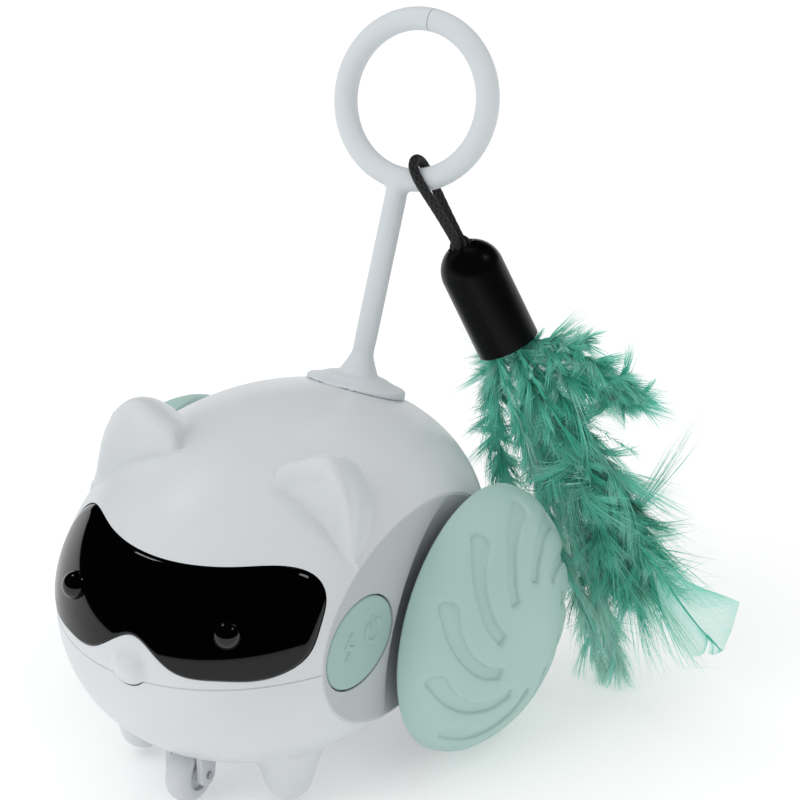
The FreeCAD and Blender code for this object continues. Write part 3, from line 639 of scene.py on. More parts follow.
def meltTogether(parts, name, softness):  # one skin over joined parts, smoothed where they meet the egg
    item = joinAll(parts, name)
    addModifier(item, "REMESH", mode="VOXEL", voxel_size=body["voxel"])
    applyModifiers(item)
    points = readPoints(item)
    rise = eggRise(points)
    standing = rise > melt["standing"]
    tree = KDTree(int(standing.sum()))
    for index, place in enumerate(points[standing]):
        tree.insert(place, index)
    tree.balance()
    weights = np.where(standing, 1 - rise / melt["reach"], 0)
    for index in np.nonzero(~standing & (rise > melt["sunk"]))[0]:
        weights[index] = 1 - tree.find(points[index])[2] / melt["reach"]
    weights = smoothStep(weights) * softness(points)
    plain = (weights < leastWeight) & ~standing
    points[plain] = eggPoints(points[plain])
    writePoints(item, points)
    smoothWhere(item, weights, melt["rounds"])
    smoothWhere(item, smoothStep((rise - ear["ridge"]) / ear["ridge"]), melt["earRounds"])
    return item


# the black face plate

visor = {"proud": 0.4 * mm, "thickness": 1.6 * mm, "gap": 0.15 * mm, "edge": 0.55 * mm,
         "middle": (0, 0, 51.6 * mm),
         "side": [(14.6, 58.2), (21.3, 57.6), (26.0, 55.2), (28.6, 51.4), (29.2, 47.2), (28.3, 42.1),
                  (24.5, 39.8), (17.5, 39.9), (9.0, 41.2)], "top": (0.0, 58.2), "notch": (0.0, 46.4),
         "points": 240, "insets": [0.06, 0.08, 0.12, 0.14, 0.2, 0.3], "rings": 34}


def visorOutline(grow=0.0):
    side = visor["side"]
    loop = [visor["top"]] + side + [visor["notch"]] + [(-x, z) for x, z in reversed(side)]
    outline = roundLoop(np.array(loop) * mm, visor["points"])
    if not grow:
        return outline
    along = np.roll(outline, -1, 0) - np.roll(outline, 1, 0)
    outward = np.stack([-along[:, 1], along[:, 0]], 1) / np.linalg.norm(along, axis=1)[:, None]
    sense = 1 if outlineDepth(outline[:1] + outward[:1] * mm, outline)[0] < 0 else -1
    return outline + outward * grow * sense


def makeVisor():
    outline = visorOutline()
    item = addRound("facePlate", [(x, 1.0, z) for x, z in outline])  # y 1.0 marks the back until the end
    editAll(item)
    bpy.ops.mesh.extrude_region_move(TRANSFORM_OT_translate={"value": (0, -1.0, 0)})
    insetSteps(visor["insets"])
    fillWithRings(visor["rings"], visor["middle"])
    points = readPoints(item)
    back = points[:, 1] > 0.5
    depth = np.clip(outlineDepth(points[:, [0, 2]], outline), 0, None)
    drop = roundedEdge(depth, visor["edge"])
    grow = np.where(back, visor["proud"] - visor["thickness"], visor["proud"] - drop)
    for index in range(len(points)):
        points[index, 1] = eggFront(points[index, 0], points[index, 2], grow[index])
    writePoints(item, points)
    editFaces(item, lambda face: len(face.vertices) > 4)
    bpy.ops.mesh.poke()
    leaveEdit()
    points = readPoints(item)
    last = len(points) - 1
    points[last, 1] = eggFront(points[last, 0], points[last, 2], visor["proud"] - visor["thickness"])
    writePoints(item, points)
    outwardFaces(item)
    finishPiece(item, "casing", "face_black", "visor", 35)


def visorPocket(name):
    outline = visorOutline(visor["gap"])
    item = addRound(name, [(x, middleY - body["halfLength"] * 1.2, z) for x, z in outline])
    extrudeFace(item, (0, body["halfLength"] * 1.2, 0))
    return cutWith(item, addEgg("pocketFloor", visor["proud"] - visor["thickness"] - 0.1 * mm))


# the power button's outline, shared by the well that it sits in

button = {"y": middleY - 19.0 * mm, "z": 39.3 * mm, "halfLong": 10.3 * mm, "halfHigh": 8.8 * mm, "tilt": 14.0,
          "gap": 0.3 * mm, "room": 1.3 * mm, "neck": 0.3 * mm, "edge": 0.5 * mm, "rings": 46, "points": 160,
          "symbolRise": 0.3 * mm, "strokeWidth": 0.42 * mm, "strokeEdge": 0.16 * mm,
          "power": (middleY - 15.3 * mm, 40.4 * mm), "powerRadius": 2.3 * mm, "ringTurns": (128, 284),
          "zigzag": (middleY - 22.7 * mm, 40.0 * mm), "wellFloor": 1.2 * mm, "wellDepth": 10 * mm,
          "roomDepth": 3 * mm, "skirt": 1.0 * mm, "skirtReach": 0.35 * mm, "skirtClear": 0.3 * mm}


def buttonOutline(x, grow=0.0):
    turns = np.linspace(0, 2 * math.pi, button["points"], endpoint=False)
    along, up = (button["halfLong"] + grow) * np.cos(turns), (button["halfHigh"] + grow) * np.sin(turns)
    tilt = math.radians(button["tilt"])
    return np.stack([np.full(len(turns), x), button["y"] + along * math.cos(tilt) - up * math.sin(tilt),
                     button["z"] + along * math.sin(tilt) + up * math.cos(tilt)], 1)


def buttonWell(name):
    item = addRound(name, buttonOutline(body["side"] - button["wellFloor"], button["gap"]))
    return extrudeFace(item, (button["wellDepth"], 0, 0))


# upper and lower shell

lowerHoles = {"screwRadius": 2.25 * mm, "screwTop": 31.9 * mm, "rear": (10.0 * mm, middleY + 35.0 * mm),
              "slotHalf": 4.95 * mm, "slotY": middleY - 30.7 * mm, "slotReach": 7.2 * mm,
              "slotRound": 1.6 * mm, "slotTop": 13.7 * mm, "portHalf": 4.65 * mm, "portLow": 31.25 * mm,
              "portHigh": 34.85 * mm, "portRound": 1.3 * mm, "portInner": middleY + 41 * mm,
              "portOuter": middleY + 60 * mm, "below": -0.01}
earCrease = {"above": body["seam"] + 12 * mm, "beside": 7 * mm, "front": 1.6 * mm, "width": 2.5 * mm,
             "elsewhere": 0.35}


def hollowShell(item, below):
    far = body["far"]
    cutWith(item, addCavity("inside"))
    half = addBlock("otherHalf", (-far, -far, -far if below else body["seam"]),
                    (far, far, body["seam"] if below else far))
    if below:
        cutWith(half, addNose("noseRoom"))
    cutWith(item, half)
    for side in (-1, 1):
        low, high = sorted((side * body["side"], side * far))
        cutWith(item, addBlock("end", (low, -far, -far), (high, far, far)))
        cutWith(item, addTube("endGroove", sideEllipse(side * body["side"]), body["groove"]))
    cutWith(item, addTube("seamGroove", levelEllipse(), body["groove"]))
    return cutWith(item, buttonWell("well"))


def makeUpperShell():
    rightEar = addEar("rightEar")
    leftEar = mirroredCopy(rightEar, "leftEar")

    def softness(points):  # the front of an ear keeps its crease, the back melts into the casing
        byEar = (points[:, 2] > earCrease["above"]) & (np.abs(points[:, 0]) > earCrease["beside"])
        back = smoothStep((points[:, 1] - ear["frontY"] - earCrease["front"]) / earCrease["width"])
        return np.where(byEar, back, earCrease["elsewhere"])

    item = meltTogether([addEgg("egg"), rightEar, leftEar, addNose("nose")], "upperShell", softness)
    hollowShell(item, below=True)
    cutWith(item, visorPocket("pocket"))
    finishPiece(item, "casing", "shell_white", "upper_shell", 35)


def makeLowerShell():
    item = meltTogether([addEgg("egg"), addFoot("rightFoot", 1), addFoot("leftFoot", -1)], "lowerShell",
                        lambda points: np.ones(len(points)))
    hollowShell(item, below=False)
    cutWith(item, addNose("noseNotch", nose["gap"]))
    holes = lowerHoles
    slot = addBlock("casterSlot", (-holes["slotHalf"], holes["slotY"] - holes["slotReach"], holes["below"]),
                    (holes["slotHalf"], holes["slotY"] + holes["slotReach"], holes["slotTop"]))
    cutWith(item, roundUpright(slot, holes["slotRound"], 2))
    port = addBlock("port", (-holes["portHalf"], holes["portInner"], holes["portLow"]),
                    (holes["portHalf"], holes["portOuter"], holes["portHigh"]))
    cutWith(item, roundUpright(port, holes["portRound"], 1))
    rearX, rearY = holes["rear"]
    for x, y in ((foot["x"], foot["y"]), (-foot["x"], foot["y"]), (rearX, rearY), (-rearX, rearY)):
        cutWith(item, addRod("screwHole", (x, y, holes["below"]), (x, y, holes["screwTop"]),
                             holes["screwRadius"], 48))
    finishPiece(item, "casing", "shell_white", "lower_shell", 35)


def roundUpright(item, radius, axis):  # a block's edges along one axis, rounded
    editEdges(item, lambda a, b: abs((b - a).normalized()[axis]) > 0.99)
    bpy.ops.mesh.bevel(offset=radius, segments=6, affect="EDGES")
    leaveEdit()
    return item


# side panels and power button: a shallow lens on each cut end of the casing

panel = {"rise": 2.1 * mm, "ballCut": 0.8, "plug": 1.6 * mm, "edge": 0.35 * mm, "rings": 40, "points": 200,
         "holeRadius": 3.4 * mm, "recessRadius": 27.6 * mm, "recessFloor": 0.1 * mm, "share": 0.996,
         "insets": [0.06, 0.08, 0.1, 0.12], "axle": (middleY + 17.3 * mm, 27.19 * mm), "inside": 0.02,
         "outside": 0.05}


def panelFace(y, z):  # how far out the lens stands at a place on it
    scale = math.sqrt(1 - (body["side"] / body["halfWidth"])**2)
    height = np.where(z >= body["seam"], body["upperHeight"], body["lowerHeight"])
    share = ((y - middleY) / (scale * body["halfLength"]))**2 + ((z - body["seam"]) / (scale * height))**2
    base = 1 - panel["ballCut"]**2
    ball = np.sqrt(np.clip(1 - base * share, 0, 1)) - panel["ballCut"]
    return body["side"] + panel["rise"] / (1 - panel["ballCut"]) * ball


def addLens(name, outline, backX, rings, edge, extra=None):
    item = addRound(name, [(backX, y, z) for _, y, z in outline])
    centre = (backX + 1.0, float(outline[:, 1].mean()), float(outline[:, 2].mean()))
    editAll(item)
    bpy.ops.mesh.extrude_region_move(TRANSFORM_OT_translate={"value": (1.0, 0, 0)})  # marks the front
    insetSteps(panel["insets"])
    fillWithRings(rings, centre)
    points = readPoints(item)
    front = points[:, 0] > 0.5
    y, z = points[front, 1], points[front, 2]
    depth = np.clip(outlineDepth(points[front][:, 1:], outline[:, 1:]), 0, None)
    points[front, 0] = panelFace(y, z) - roundedEdge(depth, edge) + (extra(y, z) if extra else 0)
    writePoints(item, points)
    outwardFaces(item)
    return item


def makePanels():
    outline = sideEllipse(body["side"], panel["share"], panel["points"])
    right = addLens("rightSidePanel", outline, body["side"] - panel["plug"], panel["rings"], panel["edge"])
    axle, outside = panel["axle"], (panel["outside"], *panel["axle"])
    cutWith(right, addRod("axleHole", (panel["inside"], *axle), outside, panel["holeRadius"]))
    cutWith(right, addRod("wheelRecess", (body["side"] + panel["recessFloor"], *axle), outside,
                          panel["recessRadius"], 180))
    left = mirroredCopy(right, "leftSidePanel")
    cutWith(right, buttonWell("well"))
    room = addRound("skirtRoom", buttonOutline(body["side"] - button["roomDepth"], button["room"]))
    cutWith(right, extrudeFace(room, (button["roomDepth"], 0, 0)))
    finishPair(right, left, "casing", "panel_grey", "{}_side_panel", 35)


def strokeDepth(y, z, strokes):  # distance from the nearest of some drawn lines
    least = np.full(len(y), np.inf)
    for start, end in strokes:
        way = np.array(end) - np.array(start)
        gap = np.stack([y - start[0], z - start[1]], 1)
        share = np.clip(gap @ way / (way @ way), 0, 1)
        least = np.minimum(least, np.linalg.norm(gap - share[:, None] * way, axis=1))
    return least


def buttonSymbols(y, z):  # the raised ring with a bar, and the zigzag beside it
    powerY, powerZ = button["power"]
    zigY, zigZ = button["zigzag"]
    radius, edge = button["powerRadius"], button["strokeEdge"]
    first, sweep = button["ringTurns"]
    turns = [math.radians(first + sweep * step / 24) for step in range(25)]
    ring = [(powerY + radius * math.cos(turn), powerZ + radius * math.sin(turn)) for turn in turns]
    bar = [(powerY, powerZ + 0.3 * mm), (powerY, powerZ + radius * 1.15)]
    corners = [(-0.9, 2.4), (0.9, 0.35), (-0.9, -0.35), (0.9, -2.4)]
    zigzag = [(zigY - x * mm, zigZ + up * mm) for x, up in corners]
    strokes = [pair for line in (ring, bar, zigzag) for pair in zip(line, line[1:])]
    inside = button["strokeWidth"] + edge - strokeDepth(y, z, strokes)
    return button["symbolRise"] * smoothStep(inside / edge)


def makeButton():
    back = body["side"] - button["neck"]
    item = addLens("powerButton", buttonOutline(0.0), back, button["rings"], button["edge"], buttonSymbols)
    skirt = addRound("buttonSkirt", buttonOutline(back - button["skirt"], button["skirtReach"]))
    extrudeFace(skirt, (button["skirt"], 0, 0))
    cutWith(skirt, addCavity("cavity", button["skirtClear"]), "INTERSECT")
    cutWith(item, skirt, "UNION")
    finishPiece(item, "power_button", "button_mint", "power_button", 50)


# domed wheels with ten spiral slots

wheel = {"radius": 27.19 * mm, "face": 33.85 * mm, "lip": 0.8 * mm, "dome": 16.31 * mm, "wall": 1.8 * mm,
         "slots": 10, "depth": 0.9 * mm, "columns": 28, "rings": 130, "leastSlot": 4.0, "outlinePoints": 140,
         "slotEdge": 0.26 * mm, "brim": 0.3 * mm, "brimWidth": 1.3 * mm, "innerColumns": 4,
         "lipSteps": [(0.3, 0.997), (0.4, 0.989), (0.3, 0.978)], "skirt": 3 * mm, "skirtTaper": 0.985,
         "closing": (0.9, 0.75, 0.5, 0.25),
         "besideSide": [-1.3, -0.85, -0.45, -0.08, 0.08, 0.2, 0.34, 0.55], "lipRound": 0.5 * mm,
         "outer": [(25.4, 106.0), (24.4, 104.8), (23.4, 105.2), (22.7, 108.2), (22.3, 111.5), (21.6, 116.7),
                   (20.5, 122.2), (19.2, 128.5), (17.6, 133.8), (15.8, 139.5), (13.8, 145.2), (12.0, 149.2)],
         "inner": [(11.4, 151.8), (11.6, 157.5), (12.6, 161.6), (13.4, 159.5), (15.7, 153.0), (17.9, 145.8),
                   (19.8, 138.9), (21.6, 132.0), (23.2, 125.2), (24.4, 118.8), (25.3, 112.8), (25.8, 108.4)]}


def domeRise(radius):  # how far the dome stands over its rim
    share = np.clip(radius / wheel["radius"], 0, 1)
    return (wheel["dome"] - wheel["lip"]) * np.sqrt(1 - share**2)


def slotSides(radius):  # the two sides of a slot at a distance from the axle, carried on past its ends
    low, high = (np.interp(radius, [r * mm for r, _ in side], [turn for _, turn in side])
                 for side in (sorted(wheel["outer"]), sorted(wheel["inner"])))
    return low, np.maximum(high, low + wheel["leastSlot"])


def slotAngles(radius, column):  # grid columns gather beside the two sides of each slot
    step, columns, inner = 360 / wheel["slots"], wheel["columns"], wheel["innerColumns"]
    low, high = slotSides(radius)
    sector, part = column // columns, column % columns
    reach = np.array(wheel["besideSide"])  # places of the columns beside each side of a slot, in mm
    gather = len(reach)
    outer = columns - 2 * gather - inner
    slotWide, landWide = high - low, step - (high - low)
    turnPerMm = np.degrees(mm / np.maximum(radius, 2 * mm))
    beside = reach[np.minimum(part, gather - 1)] * turnPerMm
    besideHigh = -reach[::-1][np.clip(part - gather - inner, 0, gather - 1)] * turnPerMm
    within, outside = reach[-1] * turnPerMm, -reach[0] * turnPerMm
    inShare = (part - gather + 1) / (inner + 1)
    outShare = (part - 2 * gather - inner + 1) / (outer + 1)
    limit = np.minimum(1.0, np.minimum(slotWide / (2.4 * within), landWide / (2.4 * outside)))
    away = np.select([part < gather, part < gather + inner, part < 2 * gather + inner],
                     [beside * limit, within * limit + inShare * (slotWide - 2 * within * limit),
                      slotWide + besideHigh * limit],
                     slotWide + outside * limit + outShare * (landWide - 2 * outside * limit))
    return np.radians(low + away + sector * step), sector


def slotDepth(radius, angle, sector):  # how deep each point lies in a slot, with a soft brim around it
    step = math.radians(360 / wheel["slots"])
    flat = [(r * mm * math.cos(math.radians(turn)), r * mm * math.sin(math.radians(turn)))
            for r, turn in wheel["outer"] + wheel["inner"]]
    outline = roundLoop(flat, wheel["outlinePoints"])
    inside = np.full(len(radius), -1.0)
    for turnBack in (0, 1, -1):
        turned = angle - sector * step - turnBack * step
        places = np.stack([radius * np.cos(turned), radius * np.sin(turned)], 1)
        inside = np.maximum(inside, outlineDepth(places, outline))
    pressed = (wheel["depth"] - wheel["brim"]) * smoothStep((inside + 0.02 * mm) / wheel["slotEdge"])
    return pressed + wheel["brim"] * np.clip((inside + wheel["brimWidth"]) / wheel["brimWidth"], 0, 1)**2


def makeWheels():
    across, rings = wheel["columns"] * wheel["slots"], wheel["rings"]
    axleY, axleZ = panel["axle"]
    rim = wheel["face"] + wheel["lip"]
    deselectAll()
    bpy.ops.mesh.primitive_grid_add(x_subdivisions=across, y_subdivisions=rings, size=2)
    item = lastAdded("rightWheelDome")
    points = readPoints(item)
    column = np.rint((points[:, 0] + 1) / 2 * across).astype(int)
    ring = (points[:, 1] + 1) / 2
    turn = ring * math.pi / 2  # rings gather near the rim, where the dome falls steeply
    radius = wheel["radius"] * np.sin(turn * 0.999 + 0.001)
    radius[ring > 0.999] = wheel["radius"]
    angle, sector = slotAngles(radius, column)
    pressed = slotDepth(radius, angle, sector)
    rise = domeRise(radius)
    slope = np.stack([rise / (wheel["dome"] - wheel["lip"])**2, radius / wheel["radius"]**2], 1)
    slope /= np.linalg.norm(slope, axis=1)[:, None]
    out = radius - pressed * slope[:, 1]
    points[:, 0] = rim + rise - pressed * slope[:, 0]
    points[:, 1] = axleY + out * np.cos(angle)
    points[:, 2] = axleZ + out * np.sin(angle)
    writePoints(item, points)
    outwardFaces(item)
    rimX = rim + 0.001 * mm
    editEdges(item, lambda a, b: a.x < rimX and b.x < rimX)
    inward = 1 - wheel["wall"] / wheel["radius"]
    pull, last = wheel["lipRound"], inward * wheel["skirtTaper"]
    steps = [(wheel["lip"] - pull, 1)] + [(pull * part, scale) for part, scale in wheel["lipSteps"]]
    steps += [(0, inward), (-wheel["skirt"], last)]  # the lip rolls inwards, then the wall goes back in
    for share in wheel["closing"]:
        last *= share
        steps.append((0, last))
    before = 1
    for move, after in steps:
        bpy.ops.mesh.extrude_region_move(TRANSFORM_OT_translate={"value": (-move, 0, 0)})
        bpy.ops.transform.resize(value=(1, after / before, after / before),
                                 center_override=(wheel["face"], axleY, axleZ))
        before = after
    closeWithPoint()
    leaveEdit()
    outwardFaces(item)
    finishPair(item, mirroredCopy(item, "leftWheelDome"), "{}_wheel", "wheel_mint", "{}_wheel_dome", 60)


# bead eyes

eye = {"place": (17.1 * mm, middleY - 42.2 * mm, 48.6 * mm), "radius": 2.8 * mm, "pin": 1.1 * mm,
       "pinLength": 7.0 * mm, "neck": 0.4 * mm, "neckPlace": 0.86}


def makeEyes():
    radius, pin = eye["radius"], eye["pin"]
    profile = arcPoints(0, 0, radius, -90, 50, 36)
    profile += [(pin + eye["neck"], radius * eye["neckPlace"]), (pin, radius), (pin, eye["pinLength"]),
                (0, eye["pinLength"])]
    profile = [(max(away, 0), along) for away, along in profile]
    right = spinProfile("rightEye", profile, eye["place"], (0, 1, 0), 72)
    finishPair(right, mirroredCopy(right, "leftEye"), "casing", "bead_black", "{}_eye", 40)


# front roller and its fork

roller = {"y": middleY - 30.7 * mm, "radius": 6.5 * mm, "half": 2.6 * mm, "edge": 2.3 * mm,
          "recess": 0.9 * mm, "rim": 2.9 * mm, "hub": 2.0 * mm, "bore": 0.85 * mm, "cheekStart": 2.95 * mm,
          "cheek": 1.3 * mm,
          "cheekRadius": 2.3 * mm, "plateLow": 13.7 * mm, "plate": 2.2 * mm, "edgeRound": 0.35 * mm,
          "plateHalf": 13 * mm, "beyond": 2.7 * mm, "plateClear": 0.1 * mm, "soften": 0.12 * mm}


def makeRoller():
    half, radius, edge = roller["half"], roller["radius"], roller["edge"]
    dish = radius - roller["rim"]
    side = [(roller["bore"], -half), (roller["hub"], -half), (roller["hub"], -half + roller["recess"]),
            (dish, -half + roller["recess"]), (dish, -half)]
    tread = arcPoints(radius - edge, -half + edge, edge, -90, 0, 10)
    profile = side + tread
    profile += [(r, -along) for r, along in reversed(profile)]
    item = spinProfile("casterWheel", profile + profile[:1], (0, roller["y"], radius), (1, 0, 0), 96)
    softenEdges(item, roller["soften"], 2)
    finishPiece(item, "caster", "roller_grey", "caster_wheel", 40)


def softenEdges(item, width, segments):
    addModifier(item, "BEVEL", width=width, segments=segments, limit_method="ANGLE",
                angle_limit=math.radians(40), harden_normals=False)
    applyModifiers(item)


def makeFork():
    y, radius, low = roller["y"], roller["cheekRadius"], roller["plateLow"]
    cheeks = []
    for side in (1, -1):
        inner = side * roller["cheekStart"]
        turns = [math.radians(180 + 180 * step / 24) for step in range(25)]
        outline = [(inner, y + radius * math.cos(turn), roller["radius"] + radius * math.sin(turn))
                   for turn in turns]
        outline += [(inner, y + radius, low + 1 * mm), (inner, y - radius, low + 1 * mm)]
        cheeks.append(extrudeFace(addRound("cheek", outline), (side * roller["cheek"], 0, 0)))
    reach = roller["radius"] + roller["beyond"]
    plate = addBlock("casterHolder", (-roller["plateHalf"], y - reach, low),
                     (roller["plateHalf"], y + reach, low + roller["plate"]))
    cutWith(plate, addCavity("room", roller["plateClear"]), "INTERSECT")
    for cheek in cheeks:
        cutWith(plate, cheek, "UNION")
    softenEdges(plate, roller["edgeRound"], 3)
    finishPiece(plate, "casing", "roller_grey", "caster_holder", 40)


# tail: saddle flange, stem and split ring in one soft piece

tail = {"base": Vector((0, middleY + 30.4 * mm, 63.7 * mm)), "lean": 23.1, "stemLength": 57.6 * mm,
        "stem": 2.2 * mm, "ring": 15.9 * mm, "tube": 2.35 * mm, "flange": 10.0 * mm, "rise": 1.9 * mm,
        "root": 4.0 * mm, "rootLength": 4.0 * mm, "stud": 3.0 * mm, "studLength": 6.6 * mm,
        "voxel": 0.36 * mm, "split": 0.16 * mm, "splitReach": 4 * mm, "melt": 2.2 * mm, "rimTop": 0.25 * mm,
        "rimRound": 0.45 * mm, "saddleGap": 0.03 * mm}
tailWay = Vector((0, math.sin(math.radians(tail["lean"])), math.cos(math.radians(tail["lean"]))))
ringCentre = tail["base"] + tailWay * tail["stemLength"]
ringNormal = Vector((1, 0, 0)).cross(tailWay)


def tailFlange(base):  # a low saddle that follows the casing's curve, with its stud below
    rim, top, round, low = tail["flange"], tail["rise"], tail["rimRound"], -5 * mm
    profile = [(0, low), (rim, low)] + arcPoints(rim - round, tail["rimTop"] - round, round, 0, 75, 6)
    profile += [(rim * 0.8, tail["rimTop"] + 0.42 * mm), (rim * 0.6, top - 0.35 * mm), (rim * 0.45, top),
                (0, top + 0.5 * mm)]
    flange = spinProfile("flange", profile, base, tailWay, 128)
    cutWith(flange, addEgg("saddle", tail["saddleGap"]))
    stud = addRod("stud", base - tailWay * tail["studLength"], base, tail["stud"], 48)
    return cutWith(flange, stud, "UNION")


def makeTail():
    base, rootTop = tail["base"], tail["rise"] + tail["rootLength"]
    deselectAll()
    bpy.ops.mesh.primitive_torus_add(major_radius=tail["ring"], minor_radius=tail["tube"], major_segments=200,
                                     minor_segments=40, location=ringCentre,
                                     rotation=ringNormal.to_track_quat("Z", "Y").to_euler())
    ring = applyPlace(lastAdded("tailRing"))
    stem = addRod("stem", base, base + tailWay * (tail["stemLength"] - tail["ring"]), tail["stem"], 48)
    root = addRod("root", base + tailWay * tail["rise"], base + tailWay * rootTop, tail["root"], 64,
                  tip=tail["stem"])
    item = joinAll([tailFlange(base), stem, root, ring], "tail")
    addModifier(item, "REMESH", mode="VOXEL", voxel_size=tail["voxel"])
    applyModifiers(item)
    points = readPoints(item)
    way, normal, centre = np.array(tailWay), np.array(ringNormal), np.array(ringCentre)
    along = (points - np.array(base)) @ way
    aside = np.linalg.norm(points - np.array(base) - along[:, None] * way, axis=1)
    flat = (points - centre) @ normal
    inPlane = points - centre - flat[:, None] * normal
    radius = np.linalg.norm(inPlane, axis=1)
    fromTube = np.hypot(radius - tail["ring"], flat)
    meets = tail["stemLength"] - tail["ring"] - tail["tube"]
    weights = smoothStep(1 - np.abs(along - meets) / tail["melt"])
    weights = np.maximum(weights, smoothStep(1.15 - np.abs(along - rootTop) / (tail["melt"] * 2))
                         * (aside < 6 * mm))
    weights *= (along > tail["rise"] - 0.3 * mm) & (aside < 7 * mm)
    onRing = (weights < leastWeight) & (along > meets)
    centreLine = centre + inPlane / radius[:, None] * tail["ring"]
    spoke = points - centreLine
    points[onRing] = (centreLine + spoke / fromTube[:, None] * tail["tube"])[onRing]
    writePoints(item, points)
    smoothWhere(item, weights, 30)
    split = ringCentre + tailWay * tail["ring"]
    half = Vector((tail["split"] / 2, tail["splitReach"], tail["splitReach"]))
    cutWith(item, addBlock("split", split - half, split + half))
    finishPiece(item, "casing", "tail_grey", "tail", 40)


# the cord over the ring, a smooth line through its control points

cord = {"points": [(13.3, 47.7, 89.7), (11.4, 45.3, 96.0), (4.2, 43.5, 106.7), (2.3, 50.7, 106.4),
                   (8.5, 50.2, 95.8), (12.8, 49.7, 89.7)],
        "diameter": 2.0 * mm, "length": 0.0435, "around": 36, "steps": 260, "strands": 6, "pitch": 3.6 * mm,
        "relief": 0.132 * mm}


def cordRoute():
    places = [(x * mm, y * mm + middleY, z * mm) for x, y, z in cord["points"]]
    route, spline = addCurve("cordRoute", places, "NURBS")
    route.data.resolution_u = spline.resolution_u = 24
    spline.order_u = 3
    spline.use_endpoint_u = True
    mesh = bpy.data.meshes.new_from_object(route)
    path = np.array([vertex.co for vertex in mesh.vertices])
    bpy.data.objects.remove(route)
    bpy.data.meshes.remove(mesh)
    return path


def makeCord():
    path = cordRoute()
    length = lengthAlong(path)[-1]
    print("cord line", round(float(length) / mm, 2), "mm long")
    steps, around = cord["steps"], cord["around"]
    deselectAll()
    bpy.ops.mesh.primitive_grid_add(x_subdivisions=around, y_subdivisions=steps, size=2)
    item = lastAdded("cordLoop")
    points = readPoints(item)
    share, turn = (points[:, 1] + 1) / 2, (points[:, 0] + 1) * math.pi
    where = np.linspace(0, length, steps + 1)
    line = spreadAlong(path, where)
    tangent = np.gradient(line, axis=0)
    tangent /= np.linalg.norm(tangent, axis=1)[:, None]
    side = np.cross(tangent[0], [0.3, 0.1, 1.0])
    sides = []
    for way in tangent:  # carried along without twist
        side = side - way * (side @ way)
        side /= np.linalg.norm(side)
        sides.append(side)
    sides = np.array(sides)
    ups = np.cross(tangent, sides)
    row = np.rint(share * steps).astype(int)
    wound = 2 * math.pi * where[row] / cord["pitch"] * cord["strands"] / 3
    weave = np.maximum(np.cos(cord["strands"] * turn + wound), np.cos(cord["strands"] * turn - wound))
    radius = cord["diameter"] / 2 - cord["relief"] * (1 - weave) / 2
    spoke = sides[row] * np.cos(turn)[:, None] + ups[row] * np.sin(turn)[:, None]
    points = line[row] + spoke * radius[:, None]
    writePoints(item, points)
    # painted sheen: the crowns of the braid get a lighter colour
    setTone(item, "weave", 0.5 + weave / 2)
    editAll(item)
    bpy.ops.mesh.remove_doubles(threshold=0.002 * mm)
    bpy.ops.mesh.select_all(action="DESELECT")
    bpy.ops.mesh.select_mode(type="EDGE")
    bpy.ops.mesh.select_non_manifold()
    bpy.ops.mesh.fill_holes(sides=0)
    leaveEdit()
    outwardFaces(item)
    finishPiece(item, "teaser_cord", "cord_black", "cord_loop", 70)
    return item, path


# the cap, a bullet with a hole in its round end, and the bound end of the cord in it

cap = {"top": Vector((12.7 * mm, 48.6 * mm + middleY, 90.4 * mm)),
       "mouth": Vector((23.2 * mm, 50.6 * mm + middleY, 69.5 * mm)), "radius": 6.4 * mm, "wall": 1.3 * mm,
       "socket": 2.45 * mm, "knotDepth": 0.8 * mm, "mouthRound": 0.35 * mm, "knot": 2.15 * mm,
       "lipTurn": 3, "lipIn": 0.25 * mm, "twists": 9, "twistLength": 0.5 * mm, "relief": 0.06}
capWay = (cap["mouth"] - cap["top"]).normalized()


def makeCap():
    length = (cap["mouth"] - cap["top"]).length
    radius, wall, lip = cap["radius"], cap["wall"], cap["mouthRound"]
    depth, socket = cap["knotDepth"], cap["socket"]
    start = math.degrees(math.asin(socket / radius)) + cap["lipTurn"]
    outer = [(radius * math.sin(math.radians(turn)), radius - radius * math.cos(math.radians(turn)))
             for turn in np.linspace(start, 90, 30)]
    inner = radius - wall
    crown = depth + socket + wall
    low = math.degrees(math.asin(min(1, (outer[0][1] + cap["lipIn"] - depth) / socket)))
    profile = [(0, depth + socket)] + arcPoints(0, depth, socket, 80, low, 9)
    profile += outer + [(radius, length - lip)] + arcPoints(radius - lip, length - lip, lip, 0, 90, 5)
    profile += [(inner + lip * 0.5, length), (inner, length - lip)]
    profile += arcPoints(0, crown + inner, inner, 0, -90, 15)
    profile = [(max(r, 0), along) for r, along in profile]
    item = spinProfile("teaserCap", profile, cap["top"], capWay, 128)
    finishPiece(item, "teaser", "cap_black", "teaser_cap", 40)


def makeKnot():
    centre = cap["top"] + capWay * cap["knotDepth"]
    deselectAll()
    bpy.ops.mesh.primitive_uv_sphere_add(segments=96, ring_count=64, radius=cap["knot"], location=centre)
    item = applyPlace(lastAdded("cordKnot"))
    away = readPoints(item) - np.array(centre)
    along = away @ np.array(capWay)
    side = capWay.orthogonal()
    turn = np.arctan2(away @ np.array(side.normalized()), away @ np.array(capWay.cross(side).normalized()))
    wave = np.cos(cap["twists"] * turn + along / cap["twistLength"])
    relief = cap["relief"] * wave * (np.abs(along) < cap["knot"] * 0.9)
    writePoints(item, np.array(centre) + away * (1 + relief)[:, None])
    # painted sheen: the crowns of the twists get a lighter colour
    setTone(item, "weave", 0.5 + wave / 2)
    return finishPiece(item, "teaser_cord", "cord_black", "cord_knot", 60)


# feathers: quills with tufts of fine curved barbs; lengths in the lists are in millimetres of the casing

